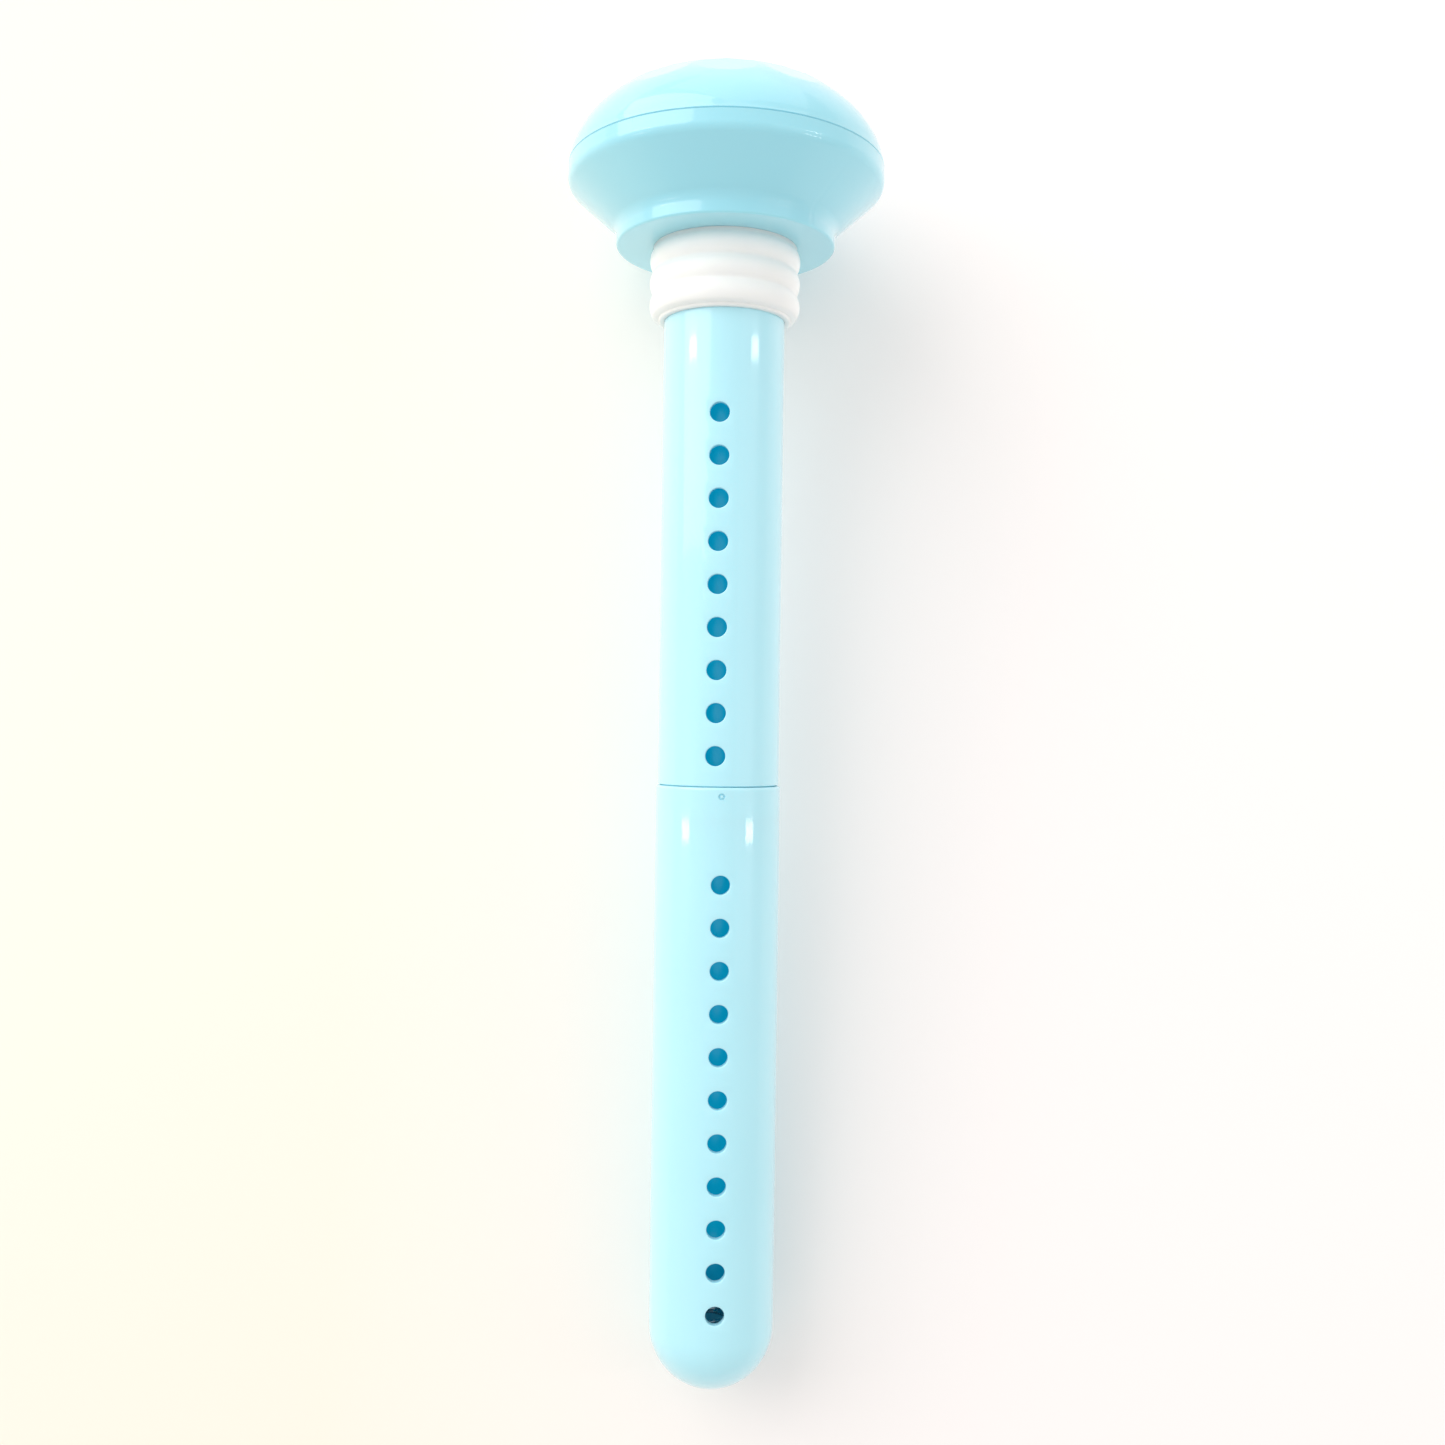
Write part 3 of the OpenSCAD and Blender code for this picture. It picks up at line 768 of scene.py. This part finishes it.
def build_upper_tube():
    """Upper tube: a straight bore, nine holes in each row, and a spigot below the joint."""
    size = sizes()
    outer, joint, pitch = size["upper_radius"], size["joint_height"], size["hole_pitch"]
    inner, spigot = outer - 1.0, outer - 0.9
    bore = spigot - 1.1
    turn, count = -3, 9
    last = joint + 4.5
    first = last + (count - 1) * pitch
    top, foot, _ = extent("upper_tube")
    outside = [(outer - 0.2, top), (outer, top - 0.2)] + [(outer, z) for z in levels(top - 2, first + 4, 12)]
    outside += ringed(outer, first, last, pitch, joint + 0.7)
    outside += [(outer, joint + 0.2), (outer - 0.3, joint), (spigot + 0.1, joint), (spigot, joint - 0.1),
                (spigot, foot + 0.6), (spigot - 0.35, foot), (bore + 0.15, foot), (bore, foot + 0.15)]
    inside = [(bore, joint + 0.9), (bore + 0.1, joint + 1.0), (inner, joint + 1.0)]
    inside += ringed(inner, first, last, pitch, joint + 1.3)[::-1]
    inside += [(inner, z) for z in levels(first + 4, top - 2, 12)] + [(inner, top)]
    bm = turned(outside + inside, TUBE_STEPS, start=FRONT + math.radians(turn))
    perforate(bm, (outer, inner), hole_places(turn, first, count, pitch), math.radians(15), pitch * 3 / 8,
              size["upper_hole"], size["upper_hole"], 0.14)
    return piece("upper_wand_tube", bm, "glossy_wand", "head", "upper_tube", 40)


def gate_mark(bm, radius, angle, height):
    """The small sunk ring that the mould's gate leaves in the tube's skin."""
    skin = Skin(bm, radius)
    loops = [skin.open(angle, height, math.radians(7.4), 0.6, 0.5, 0.5)]
    for reach, depth in ((0.45, 0.28), (0.27, 0.28), (0.2, 0.0)):
        loops.append(skin.ring(angle, height, len(loops[0]), reach, reach, depth))
    bridge_all(bm, loops)
    bmesh.ops.holes_fill(bm, edges=loops[-1], sides=0)


def build_lower_tube():
    """Lower tube: a socket with a ring groove, eleven holes in each row, a spring seat and a round tip."""
    size = sizes()
    outer, joint, pitch = size["lower_radius"], size["joint_height"], size["hole_pitch"]
    inner = size["upper_radius"] - 0.85
    turn, count = 3.5, 11
    first = joint - 14
    last = first - (count - 1) * pitch
    centre = size["tip_height"] + outer
    seat = foot_mm("wick_spring").z
    groove, half_groove, groove_floor = middle_mm("tube_o_ring"), 0.35, inner + 0.65
    outside = [(inner + 0.1, joint)]
    outside += outline([(inner + 0.3, joint, 0), (outer, joint, 0.38), (outer, joint - 4, 0)],
                       6, closed=False)[:-1]
    mark = joint - 1.3
    outside += [(outer, mark + z) for z in (0.7, 0.23, -0.23, -0.7)]
    outside += [(outer, z) for z in levels(mark - 1.5, first + 4, 10)]
    outside += ringed(outer, first, last, pitch, centre)
    outside += [(outer * math.cos(a), centre - outer * math.sin(a)) for a in levels(0, math.pi / 2, 28)]
    boss, ledge = 2.6, 4.2
    turn_up = math.acos(ledge / inner)
    inside = [(0, seat + 1.5), (boss - 0.3, seat + 1.5), (boss, seat + 1.2), (boss, seat),
              (ledge - 0.2, seat), (ledge, seat - 0.2), (ledge, centre - inner * math.sin(turn_up))]
    inside += [(inner * math.cos(a), centre - inner * math.sin(a)) for a in levels(turn_up, 0, 14)[1:]]
    inside += ringed(inner, first, last, pitch, centre)[::-1]
    inside += [(inner, z) for z in levels(first + 4, groove - 1.2, 8)]
    inside += [(inner, groove - half_groove), (groove_floor, groove - half_groove),
               (groove_floor, groove + half_groove), (inner, groove + half_groove), (inner, joint - 0.2)]
    bm = turned(outside + inside, TUBE_STEPS, closed=False, start=FRONT + math.radians(turn))
    bmesh.ops.bridge_loops(bm, edges=[e for e in bm.edges if e.is_boundary])
    gate_mark(bm, outer, FRONT + math.radians(turn), mark)
    perforate(bm, (outer, inner), hole_places(turn, first, count, pitch), math.radians(15), pitch * 3 / 8,
              size["lower_hole"], size["lower_hole"], 0.18)
    return piece("lower_wand_tube", bm, "glossy_wand", "lower_wand", "lower_tube", 40)


def build_wick_tube():
    """Wick tube: a flange at the top and three rows of long slots."""
    inner, outer = 4.5, corner_mm("wick").x + 1.4
    top, foot, flange = extent("wick_tube")
    spacing, plain_top = 14, -18
    starts = [foot + spacing * k for k in range(1, 10) if foot + spacing * k < plain_top]
    rings = [z for start in starts for z in levels(start - 1.5, start + 10.5, 12)]
    under = top - 1.2
    outside = outline([(inner, top, 0.2), (flange, top, 0.2), (flange, under, 0.2), (outer, under, 0.3)],
                      4, closed=False)
    outside += [(outer, z) for z in sorted(rings, reverse=True)]
    outside += [(outer, foot + 0.4), (outer - 0.3, foot), (inner + 0.3, foot), (inner, foot + 0.3)]
    inside = [(inner, z) for z in sorted(rings)]
    bm = turned(outside + inside, 48, start=FRONT + math.radians(60))
    places = [(FRONT + math.radians(60 + 120 * row), start + 4.5) for row in range(3) for start in starts]
    perforate(bm, (outer, inner), places, math.radians(22.5), 6.0, 1.3, 4.5, 0.12)
    return piece("inner_wick_tube", bm, "core_blue", "head", "wick_tube", 40)


def build_joint_ring():
    """The ring in the socket's groove."""
    top, foot, outer = extent("tube_o_ring")
    wire = (top - foot) / 2
    middle, centre = top - wire, outer - wire
    bm = turned([(centre + wire * math.cos(a), middle + wire * math.sin(a))
                 for a in levels(0, 2 * math.pi, 20)[:-1]], 128)
    return piece("joint_ring", bm, "soft_rubber", "seal", "tube_o_ring", 60)


# ---------------------------------------------------------------- wick, cup and spring

def build_wick():
    """Pressed cotton stick with fine ridges that wander along it."""
    top, foot, radius = extent("wick")
    profile = [(0, top)] + outline([(0.1, top, 0), (radius, top, 0.7), (radius, foot, 0.5), (0.1, foot, 0)],
                                   5, closed=False)
    points = []
    for (r, z), (_, below) in zip(profile, profile[1:] + [(0, foot)]):
        points.append((r, z))
        if z - below > 10:
            points += [(r, h) for h in levels(z, below, 60)[1:-1]]
    points.append((0, foot))
    bm = turned(points, TUBE_STEPS, closed=False)
    for v in bm.verts:
        angle = math.atan2(v.co.y, v.co.x)
        fibre = 0.035 * math.sin(angle * 17 + v.co.z * 0.11) + 0.025 * math.sin(angle * 31 - v.co.z * 0.07)
        if v.co.xy.length > 0.5:
            v.co.xy *= 1 + (fibre - 0.06) / radius
    return piece("cotton_wick", bm, "cotton_fibre", "wick_core", "wick", 60)


def build_wick_cup():
    """Cup for the wick's foot, with a peg that centres it in the spring."""
    top, foot, outer = extent("wick_cup")
    base = corner_mm("wick_spring").z
    inner, floor, peg = outer - 0.97, base + 1.2, 2.6
    bm = turned([(0, floor)] + outline([
        (0.1, floor, 0), (inner, floor, 0.25), (inner, top, 0.3), (outer, top, 0.3), (outer, base, 0.3),
        (peg, base, 0.15), (peg, foot, 0.4), (0.1, foot, 0)], 5, closed=False) + [(0, foot)],
        TUBE_STEPS, closed=False)
    return piece("wick_foot_cup", bm, "cup_blue", "wick_core", "wick_cup", 40)


def build_spring():
    """A coil with a dead turn at each end, ground flat by closing its pitch."""
    top, foot, outer = extent("wick_spring")
    wire, dead_rise = 0.3, 0.62
    radius = outer - wire
    bm = bmesh.new()
    circle = bmesh.ops.create_circle(bm, segments=12, radius=wire)["verts"]
    bmesh.ops.rotate(bm, cent=(0, 0, 0), matrix=Matrix.Rotation(math.radians(90), 3, "X"), verts=circle)
    bmesh.ops.translate(bm, vec=(radius, 0, foot + wire), verts=circle)
    section = circle + list({e for v in circle for e in v.link_edges})
    bmesh.ops.holes_fill(bm, edges=[e for e in section if isinstance(e, bmesh.types.BMEdge)], sides=0)
    climb = top - foot - 2 * wire
    for turns, rise in ((1, dead_rise), (4, climb - 2 * dead_rise), (1, dead_rise)):
        steps = 40 * turns
        made = bmesh.ops.spin(bm, geom=section, cent=(0, 0, 0), axis=(0, 0, 1), angle=2 * math.pi * turns,
                              dvec=(0, 0, rise / steps), steps=steps, use_merge=False)
        section = made["geom_last"]
    bmesh.ops.holes_fill(bm, edges=[e for e in section if isinstance(e, bmesh.types.BMEdge)], sides=0)
    bmesh.ops.remove_doubles(bm, verts=bm.verts[:], dist=1e-4)
    face_outwards(bm)
    coil = piece("wick_coil", bm, "spring_steel", "lower_wand", "wick_spring", 50)
    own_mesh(coil)
    return coil


# ---------------------------------------------------------------- atomizer

def build_seal():
    """Silicone seal with a slot that holds the plate and its piezo ring."""
    top, foot, outer = extent("disc_gasket")
    _, plate, slot = extent("mesh_plate")
    slot, low, high, bore = slot + 0.05, plate - 0.03, plate + 0.84, 5.2
    bm = turned(outline([
        (bore, foot, 0.3), (outer, foot, 0.3), (outer, top, 0.3), (bore, top, 0.7), (bore, high, 0.1),
        (slot, high, 0.05), (slot, low, 0.05), (bore, low, 0.1)], 6), 160)
    return piece("disc_seal", bm, "soft_silicone", "head", "disc_gasket", 40)


def build_plate():
    """Mist plate, domed in the middle."""
    top, foot, outer = extent("mesh_plate")
    radius, rise, sweep = 3.0, 0.35, 0.5
    dome = [(radius * math.sin(a) / math.sin(sweep),
             rise * (math.cos(a) - math.cos(sweep)) / (1 - math.cos(sweep))) for a in levels(0, sweep, 10)]
    upper = [(r, top + h) for r, h in dome] + [(outer - 0.05, top), (outer, top - 0.05)]
    lower = [(outer, foot + 0.05), (outer - 0.05, foot), (0, foot)]
    bm = turned(upper + lower, 128, closed=False)
    return piece("mist_plate", bm, "micro_mesh", "head", "mesh_plate", 45)


def build_piezo():
    """Ceramic ring that shakes the plate."""
    top, foot, outer = extent("piezo_ring")
    bore = 4.2
    bm = turned(outline([(bore, foot, 0), (outer, foot, 0), (outer, top, 0.08), (bore, top, 0.08)], 3), 128)
    return piece("piezo_disc", bm, "silvered_ceramic", "head", "piezo_ring", 40)


# ---------------------------------------------------------------- port, button and board

def build_port():
    """Folded steel socket shell with a flared mouth, and its contact tongue."""
    deep, wide, tall, sheet = 5.6, 7.5, 2.6, 0.3
    height = middle_mm("usb_socket")
    middle = 22.5 - deep / 2
    shell = prism((deep, wide, tall), on_spoke(REAR_PORT, middle, height), 0.75, 0.0)
    port = piece("charge_port", shell, "plated_steel", "head", "usb_socket", 35)
    cavity = prism((deep, wide - 2 * sheet, tall - 2 * sheet),
                   on_spoke(REAR_PORT, middle + 1, height), 0.5, 0.12)
    carve(port, cavity)
    tongue = bmesh.new()
    where = on_spoke(REAR_PORT, middle + 0.5, height + 0.2)
    rounded_block(tongue, (4.5, 4.0, 0.6), where, 0.12)
    for k in range(5):
        rounded_block(tongue, (3.4, 0.32, 0.12), where @ Matrix.Translation((0.3, (k - 2) * 0.72, -0.32)), 0.03)
    made = piece("port_tongue", tongue, "black_moulding", "head", "usb_tongue", 35)
    repaint(made, "copper", lambda face: face.center.z < (height - 0.115) * MM)
    return port


def build_button():
    """Button cap with a shallow dish, a rounded edge and its retaining flange."""
    flange, cap = 18.9, 2.2
    face = 23.41 - flange
    bm = turned([(0, face - 0.12), (0.8, face - 0.09), (1.4, face - 0.02)] + outline([
        (1.5, face, 0), (cap, face, 0.35), (cap, 0, 0), (cap + 0.5, 0, 0.15), (cap + 0.5, -0.8, 0.15),
        (0.1, -0.8, 0)], 5, closed=False) + [(0, -0.8)], TUBE_STEPS, closed=False)
    set_down(bm, on_spoke(REAR_BUTTON, flange, middle_mm("power_button"), math.radians(90)))
    face_outwards(bm)
    return piece("button_cap", bm, "glossy_shell", "button", "power_button", 40)


def build_chip(top, ring):
    """The driver chip on its eight legs."""
    chip = bmesh.new()
    rounded_block(chip, (3.9, 4.9, 0.9), on_spoke(math.pi, ring, top + 0.5), 0.1)
    for side in (-1, 1):
        for k in range(4):
            rounded_block(chip, (0.55, 0.4, 0.12), on_spoke(math.pi, ring + side * 2.2, top + 0.1)
                          @ Matrix.Translation((0, (k - 1.5) * 1.27, 0)), 0.03, 1)
    made = piece("driver_package", chip, "black_moulding", "head", "driver_chip", 35)
    repaint(made, "plated_steel", lambda face: abs(face.center.x + ring * MM) > 1.96 * MM)


def build_inductor(top, ring):
    """A ferrite bobbin with ten turns of copper wire."""
    coil = turned([(0, 3.0), (1.9, 3.0), (2.1, 2.8)] + [
        (2.05 + 0.12 * math.cos(a), 2.5 - 0.21 * k - 0.1 * math.sin(a)) for k in range(10)
        for a in levels(-1.3, 1.3, 4)] + [(2.5, 0.4), (2.6, 0.3), (2.6, 0.1), (2.5, 0), (0, 0)],
        64, closed=False)
    set_down(coil, on_spoke(math.radians(215), ring, top))
    made = piece("inductor_core", coil, "sintered_ferrite", "head", "boost_inductor", 35)
    low, high = (top + 0.42) * MM, (top + 2.62) * MM
    repaint(made, "copper", lambda face: low < face.center.z < high and abs(face.normal.z) < 0.9)


def build_capacitors(top, ring):
    """Three chip capacitors with plated ends."""
    caps = bmesh.new()
    for angle in (300, 320, 340):
        for shift, long, thick in ((0, 1.2, 1.2), (-0.8, 0.4, 1.25), (0.8, 0.4, 1.25)):
            place = on_spoke(math.radians(angle), ring + shift, top + 0.625)
            rounded_block(caps, (long, thick, thick), place, 0.08)
    made = piece("chip_capacitors", caps, "fired_ceramic", "head", "capacitors", 35)
    repaint(made, "plated_steel", lambda face: abs(face.center.xy.length - ring * MM) > 0.55 * MM)


def build_screws(top):
    """Three alike pan-head screws."""
    head = [(0, 0.75), (0.5, 0.8), (1.0, 0.78), (1.3, 0.6), (1.4, 0.3), (1.4, 0.05), (1.35, 0), (0.8, 0)]
    thread = [(0.8 - 0.12 * (k % 2), -0.35 * k) for k in range(1, 14)]
    profile = head + thread + [(0.5, -5), (0, -5)]
    screws = [set_down(turned(profile, 48, closed=False), on_spoke(math.radians(angle), 12.65, top))
              for angle in (0, 120, 240)]
    piece("board_screw_set", joined(*screws), "plated_steel", "head", "board_screws", 35)


def build_board_parts():
    """The driver's parts on the board: chip, inductor, capacitors, lamp and screws."""
    top = corner_mm("circuit_board").z
    ring = -(corner_mm("driver_chip").x + foot_mm("driver_chip").x) / 2
    build_chip(top, ring)
    build_inductor(top, ring)
    build_capacitors(top, ring)
    lens = bmesh.new()
    rounded_block(lens, (0.8, 1.6, 0.6), on_spoke(math.radians(40), ring, top + 0.3), 0.1)
    piece("status_lamp", lens, "milky_lens", "head", "status_led", 35)
    build_screws(top)


def dress_plain_nodes():
    """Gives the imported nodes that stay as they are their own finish."""
    for name, paint in (("circuit_board", "solder_mask"), ("live_lead", "red_sleeve"),
                        ("return_lead", "black_sleeve"), ("switch_body", "plated_steel"),
                        ("switch_stem", "black_moulding")):
        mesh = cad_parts[name].data
        mesh.materials.clear()
        mesh.materials.append(paint_for(paint))


# ---------------------------------------------------------------- stage

def lamp(name, place, aim, power, wide, tall, colour=(1, 1, 1)):
    """A rectangular area lamp that faces a point."""
    data = bpy.data.lights.new(name, "AREA")
    data.shape, data.size, data.size_y = "RECTANGLE", wide, tall
    data.energy, data.color = power, colour
    made = shown(name, data)
    made.location = place
    made.rotation_euler = (Vector(aim) - Vector(place)).to_track_quat("-Z", "Y").to_euler()


def build_backdrop():
    """The white table that the wand lies on, seen only from the wand's side, its colour tinted with painted
    light.
    """
    material, tree, shader = new_material("white_table", (0.96, 0.96, 0.96), 0.7)
    output = tree.nodes["Material Output"]
    across = node_in(tree, "ShaderNodeSeparateXYZ")
    tree.links.new(object_coords(tree), across.inputs[0])
    # Painted light: the table is creamier towards the left, where the window light comes from, and pinker at
    # the right, to offset the cyan light bounced into the wand's shadow.
    painted_light_tint = ramp(tree, across.outputs["X"], -0.06, 0.01)
    drive(tree, shader, blend_colours(tree, painted_light_tint, (0.98, 0.905, 0.79), (1.0, 0.945, 0.925)))
    facing = node_in(tree, "ShaderNodeNewGeometry")
    rays = node_in(tree, "ShaderNodeLightPath")
    through = node_in(tree, "ShaderNodeMath", operation="MAXIMUM")
    tree.links.new(facing.outputs["Backfacing"], through.inputs[0])
    tree.links.new(rays.outputs["Is Shadow Ray"], through.inputs[1])
    clear = node_in(tree, "ShaderNodeBsdfTransparent")
    mix = node_in(tree, "ShaderNodeMixShader")
    tree.links.new(through.outputs[0], mix.inputs[0])
    tree.links.new(shader.outputs[0], mix.inputs[1])
    tree.links.new(clear.outputs[0], mix.inputs[2])
    tree.links.new(mix.outputs[0], output.inputs["Surface"])
    size = sizes()
    rim = Vector((0, size["head_radius"], size["rim_height"])) * MM
    tip = Vector((0, size["lower_radius"], size["tip_height"] + size["lower_radius"])) * MM
    bm = bmesh.new()
    bmesh.ops.create_grid(bm, x_segments=1, y_segments=1, size=1.2)
    lean = math.atan2(rim.y - tip.y, rim.z - tip.z)
    bmesh.ops.rotate(bm, cent=(0, 0, 0), matrix=Matrix.Rotation(math.radians(90) - lean, 3, "X"),
                     verts=bm.verts[:])
    bmesh.ops.translate(bm, vec=(rim + tip) / 2 + Vector((0, 0.0004, 0)), verts=bm.verts[:])
    mesh = mesh_of(bm, "white_table")
    mesh.materials.append(material)
    shown("white_table", mesh)


def build_lights():
    """A pale room, a large window at the left, weak fills, and four strips for the marks on the tubes."""
    world = bpy.data.worlds.new("pale_room")
    world.use_nodes = True
    world.node_tree.nodes["Background"].inputs["Color"].default_value = (1.0, 0.998, 0.99, 1)
    world.node_tree.nodes["Background"].inputs["Strength"].default_value = 0.76
    bpy.context.scene.world = world
    middle = (0, 0, -0.07)
    lamp("window_left", (-0.65, -0.5, 0.5), middle, 5.8, 1.0, 1.0, (1.0, 0.995, 0.98))
    lamp("ceiling", (0.1, -0.15, 0.6), (0, 0, 0.01), 0.7, 0.6, 0.6, (1.0, 0.95, 0.975))
    lamp("fill_right", (0.6, -0.5, 0.0), middle, 0.25, 0.5, 0.5, (0.93, 0.95, 1.0))
    lamp("rear_left", (-0.5, 0.6, 0.2), middle, 1.0, 0.5, 0.5)
    lamp("rear_right", (0.5, 0.55, 0.1), middle, 0.6, 0.5, 0.5)
    for side in (-1, 1):
        for name, height in (("high", 0.086), ("low", -0.116)):
            lamp(f"strip_{name}_{'left' if side < 0 else 'right'}", (side * 0.35, -0.2, height),
                 (0, 0, height * 0.5 - 0.03), 0.034, 0.11, 0.0088)


def build_camera():
    """The camera, level with the middle of the wand and rolled a little."""
    data = bpy.data.cameras.new("camera")
    data.sensor_width = 36.0
    data.lens = 36.1
    data.clip_start = 0.01
    camera = shown("camera", data)
    roll = math.radians(0.78)
    camera.matrix_world = (Matrix.Translation((0.00052, -0.2168, -0.07065))
                           @ Matrix.Rotation(math.radians(90), 4, "X") @ Matrix.Rotation(roll, 4, "Z"))
    bpy.context.scene.camera = camera
    bpy.context.scene.view_settings.view_transform = "Standard"


# ---------------------------------------------------------------- operators and panel

class HUMIDIFIER_OT_cover(bpy.types.Operator):
    """Model the faceted cover of the head"""
    bl_idname = "humidifier.cover"
    bl_label = "Cover"

    def execute(self, context):
        build_cover()
        return {"FINISHED"}


class HUMIDIFIER_OT_housing(bpy.types.Operator):
    """Model the funnel-shaped lower housing"""
    bl_idname = "humidifier.housing"
    bl_label = "Housing"

    def execute(self, context):
        build_housing()
        return {"FINISHED"}


class HUMIDIFIER_OT_plug(bpy.types.Operator):
    """Model the ribbed silicone bottle plug"""
    bl_idname = "humidifier.plug"
    bl_label = "Bottle plug"

    def execute(self, context):
        build_plug()
        return {"FINISHED"}


class HUMIDIFIER_OT_wand(bpy.types.Operator):
    """Model the two perforated tubes and the ring in their joint"""
    bl_idname = "humidifier.wand"
    bl_label = "Wand"

    def execute(self, context):
        build_upper_tube()
        build_lower_tube()
        build_joint_ring()
        return {"FINISHED"}


class HUMIDIFIER_OT_wick(bpy.types.Operator):
    """Model the wick, its tube, its cup and its spring"""
    bl_idname = "humidifier.wick"
    bl_label = "Wick"

    def execute(self, context):
        build_wick_tube()
        build_wick()
        build_wick_cup()
        build_spring()
        return {"FINISHED"}


class HUMIDIFIER_OT_atomizer(bpy.types.Operator):
    """Model the mist plate, its piezo ring and its seal"""
    bl_idname = "humidifier.atomizer"
    bl_label = "Atomizer"

    def execute(self, context):
        build_seal()
        build_plate()
        build_piezo()
        return {"FINISHED"}


class HUMIDIFIER_OT_electrics(bpy.types.Operator):
    """Model the charging port, the button and the parts on the board"""
    bl_idname = "humidifier.electrics"
    bl_label = "Port, button and board"

    def execute(self, context):
        build_port()
        build_button()
        build_board_parts()
        dress_plain_nodes()
        return {"FINISHED"}


class HUMIDIFIER_OT_stage(bpy.types.Operator):
    """Set up the white table, the lights and the camera"""
    bl_idname = "humidifier.stage"
    bl_label = "Stage"

    def execute(self, context):
        build_backdrop()
        build_lights()
        build_camera()
        return {"FINISHED"}


OPERATORS = (HUMIDIFIER_OT_cover, HUMIDIFIER_OT_housing, HUMIDIFIER_OT_plug, HUMIDIFIER_OT_wand,
             HUMIDIFIER_OT_wick, HUMIDIFIER_OT_atomizer, HUMIDIFIER_OT_electrics, HUMIDIFIER_OT_stage)


class HUMIDIFIER_PT_panel(bpy.types.Panel):
    """Sizes, colours and pieces of the humidifier"""
    bl_idname = "HUMIDIFIER_PT_panel"
    bl_label = "Bottle humidifier"
    bl_space_type = "VIEW_3D"
    bl_region_type = "UI"
    bl_category = "Humidifier"

    def draw(self, context):
        for group, holder in ((HumidifierSizes, context.scene.humidifier_sizes),
                              (HumidifierColours, context.scene.humidifier_colours)):
            box = self.layout.box()
            for name in group.__annotations__:
                box.prop(holder, name)
        for operator in OPERATORS:
            self.layout.operator(operator.bl_idname)


CLASSES = (HumidifierSizes, HumidifierColours, *OPERATORS, HUMIDIFIER_PT_panel)


def register():
    for made in CLASSES:
        bpy.utils.register_class(made)
    bpy.types.Scene.humidifier_sizes = bpy.props.PointerProperty(type=HumidifierSizes)
    bpy.types.Scene.humidifier_colours = bpy.props.PointerProperty(type=HumidifierColours)


def unregister():
    del bpy.types.Scene.humidifier_colours
    del bpy.types.Scene.humidifier_sizes
    for made in reversed(CLASSES):
        bpy.utils.unregister_class(made)


def main():
    register()
    bpy.ops.humidifier.cover()
    bpy.ops.humidifier.housing()
    bpy.ops.humidifier.plug()
    bpy.ops.humidifier.wand()
    bpy.ops.humidifier.wick()
    bpy.ops.humidifier.atomizer()
    bpy.ops.humidifier.electrics()
    bpy.ops.humidifier.stage()


if __name__ == "__main__":
    main()
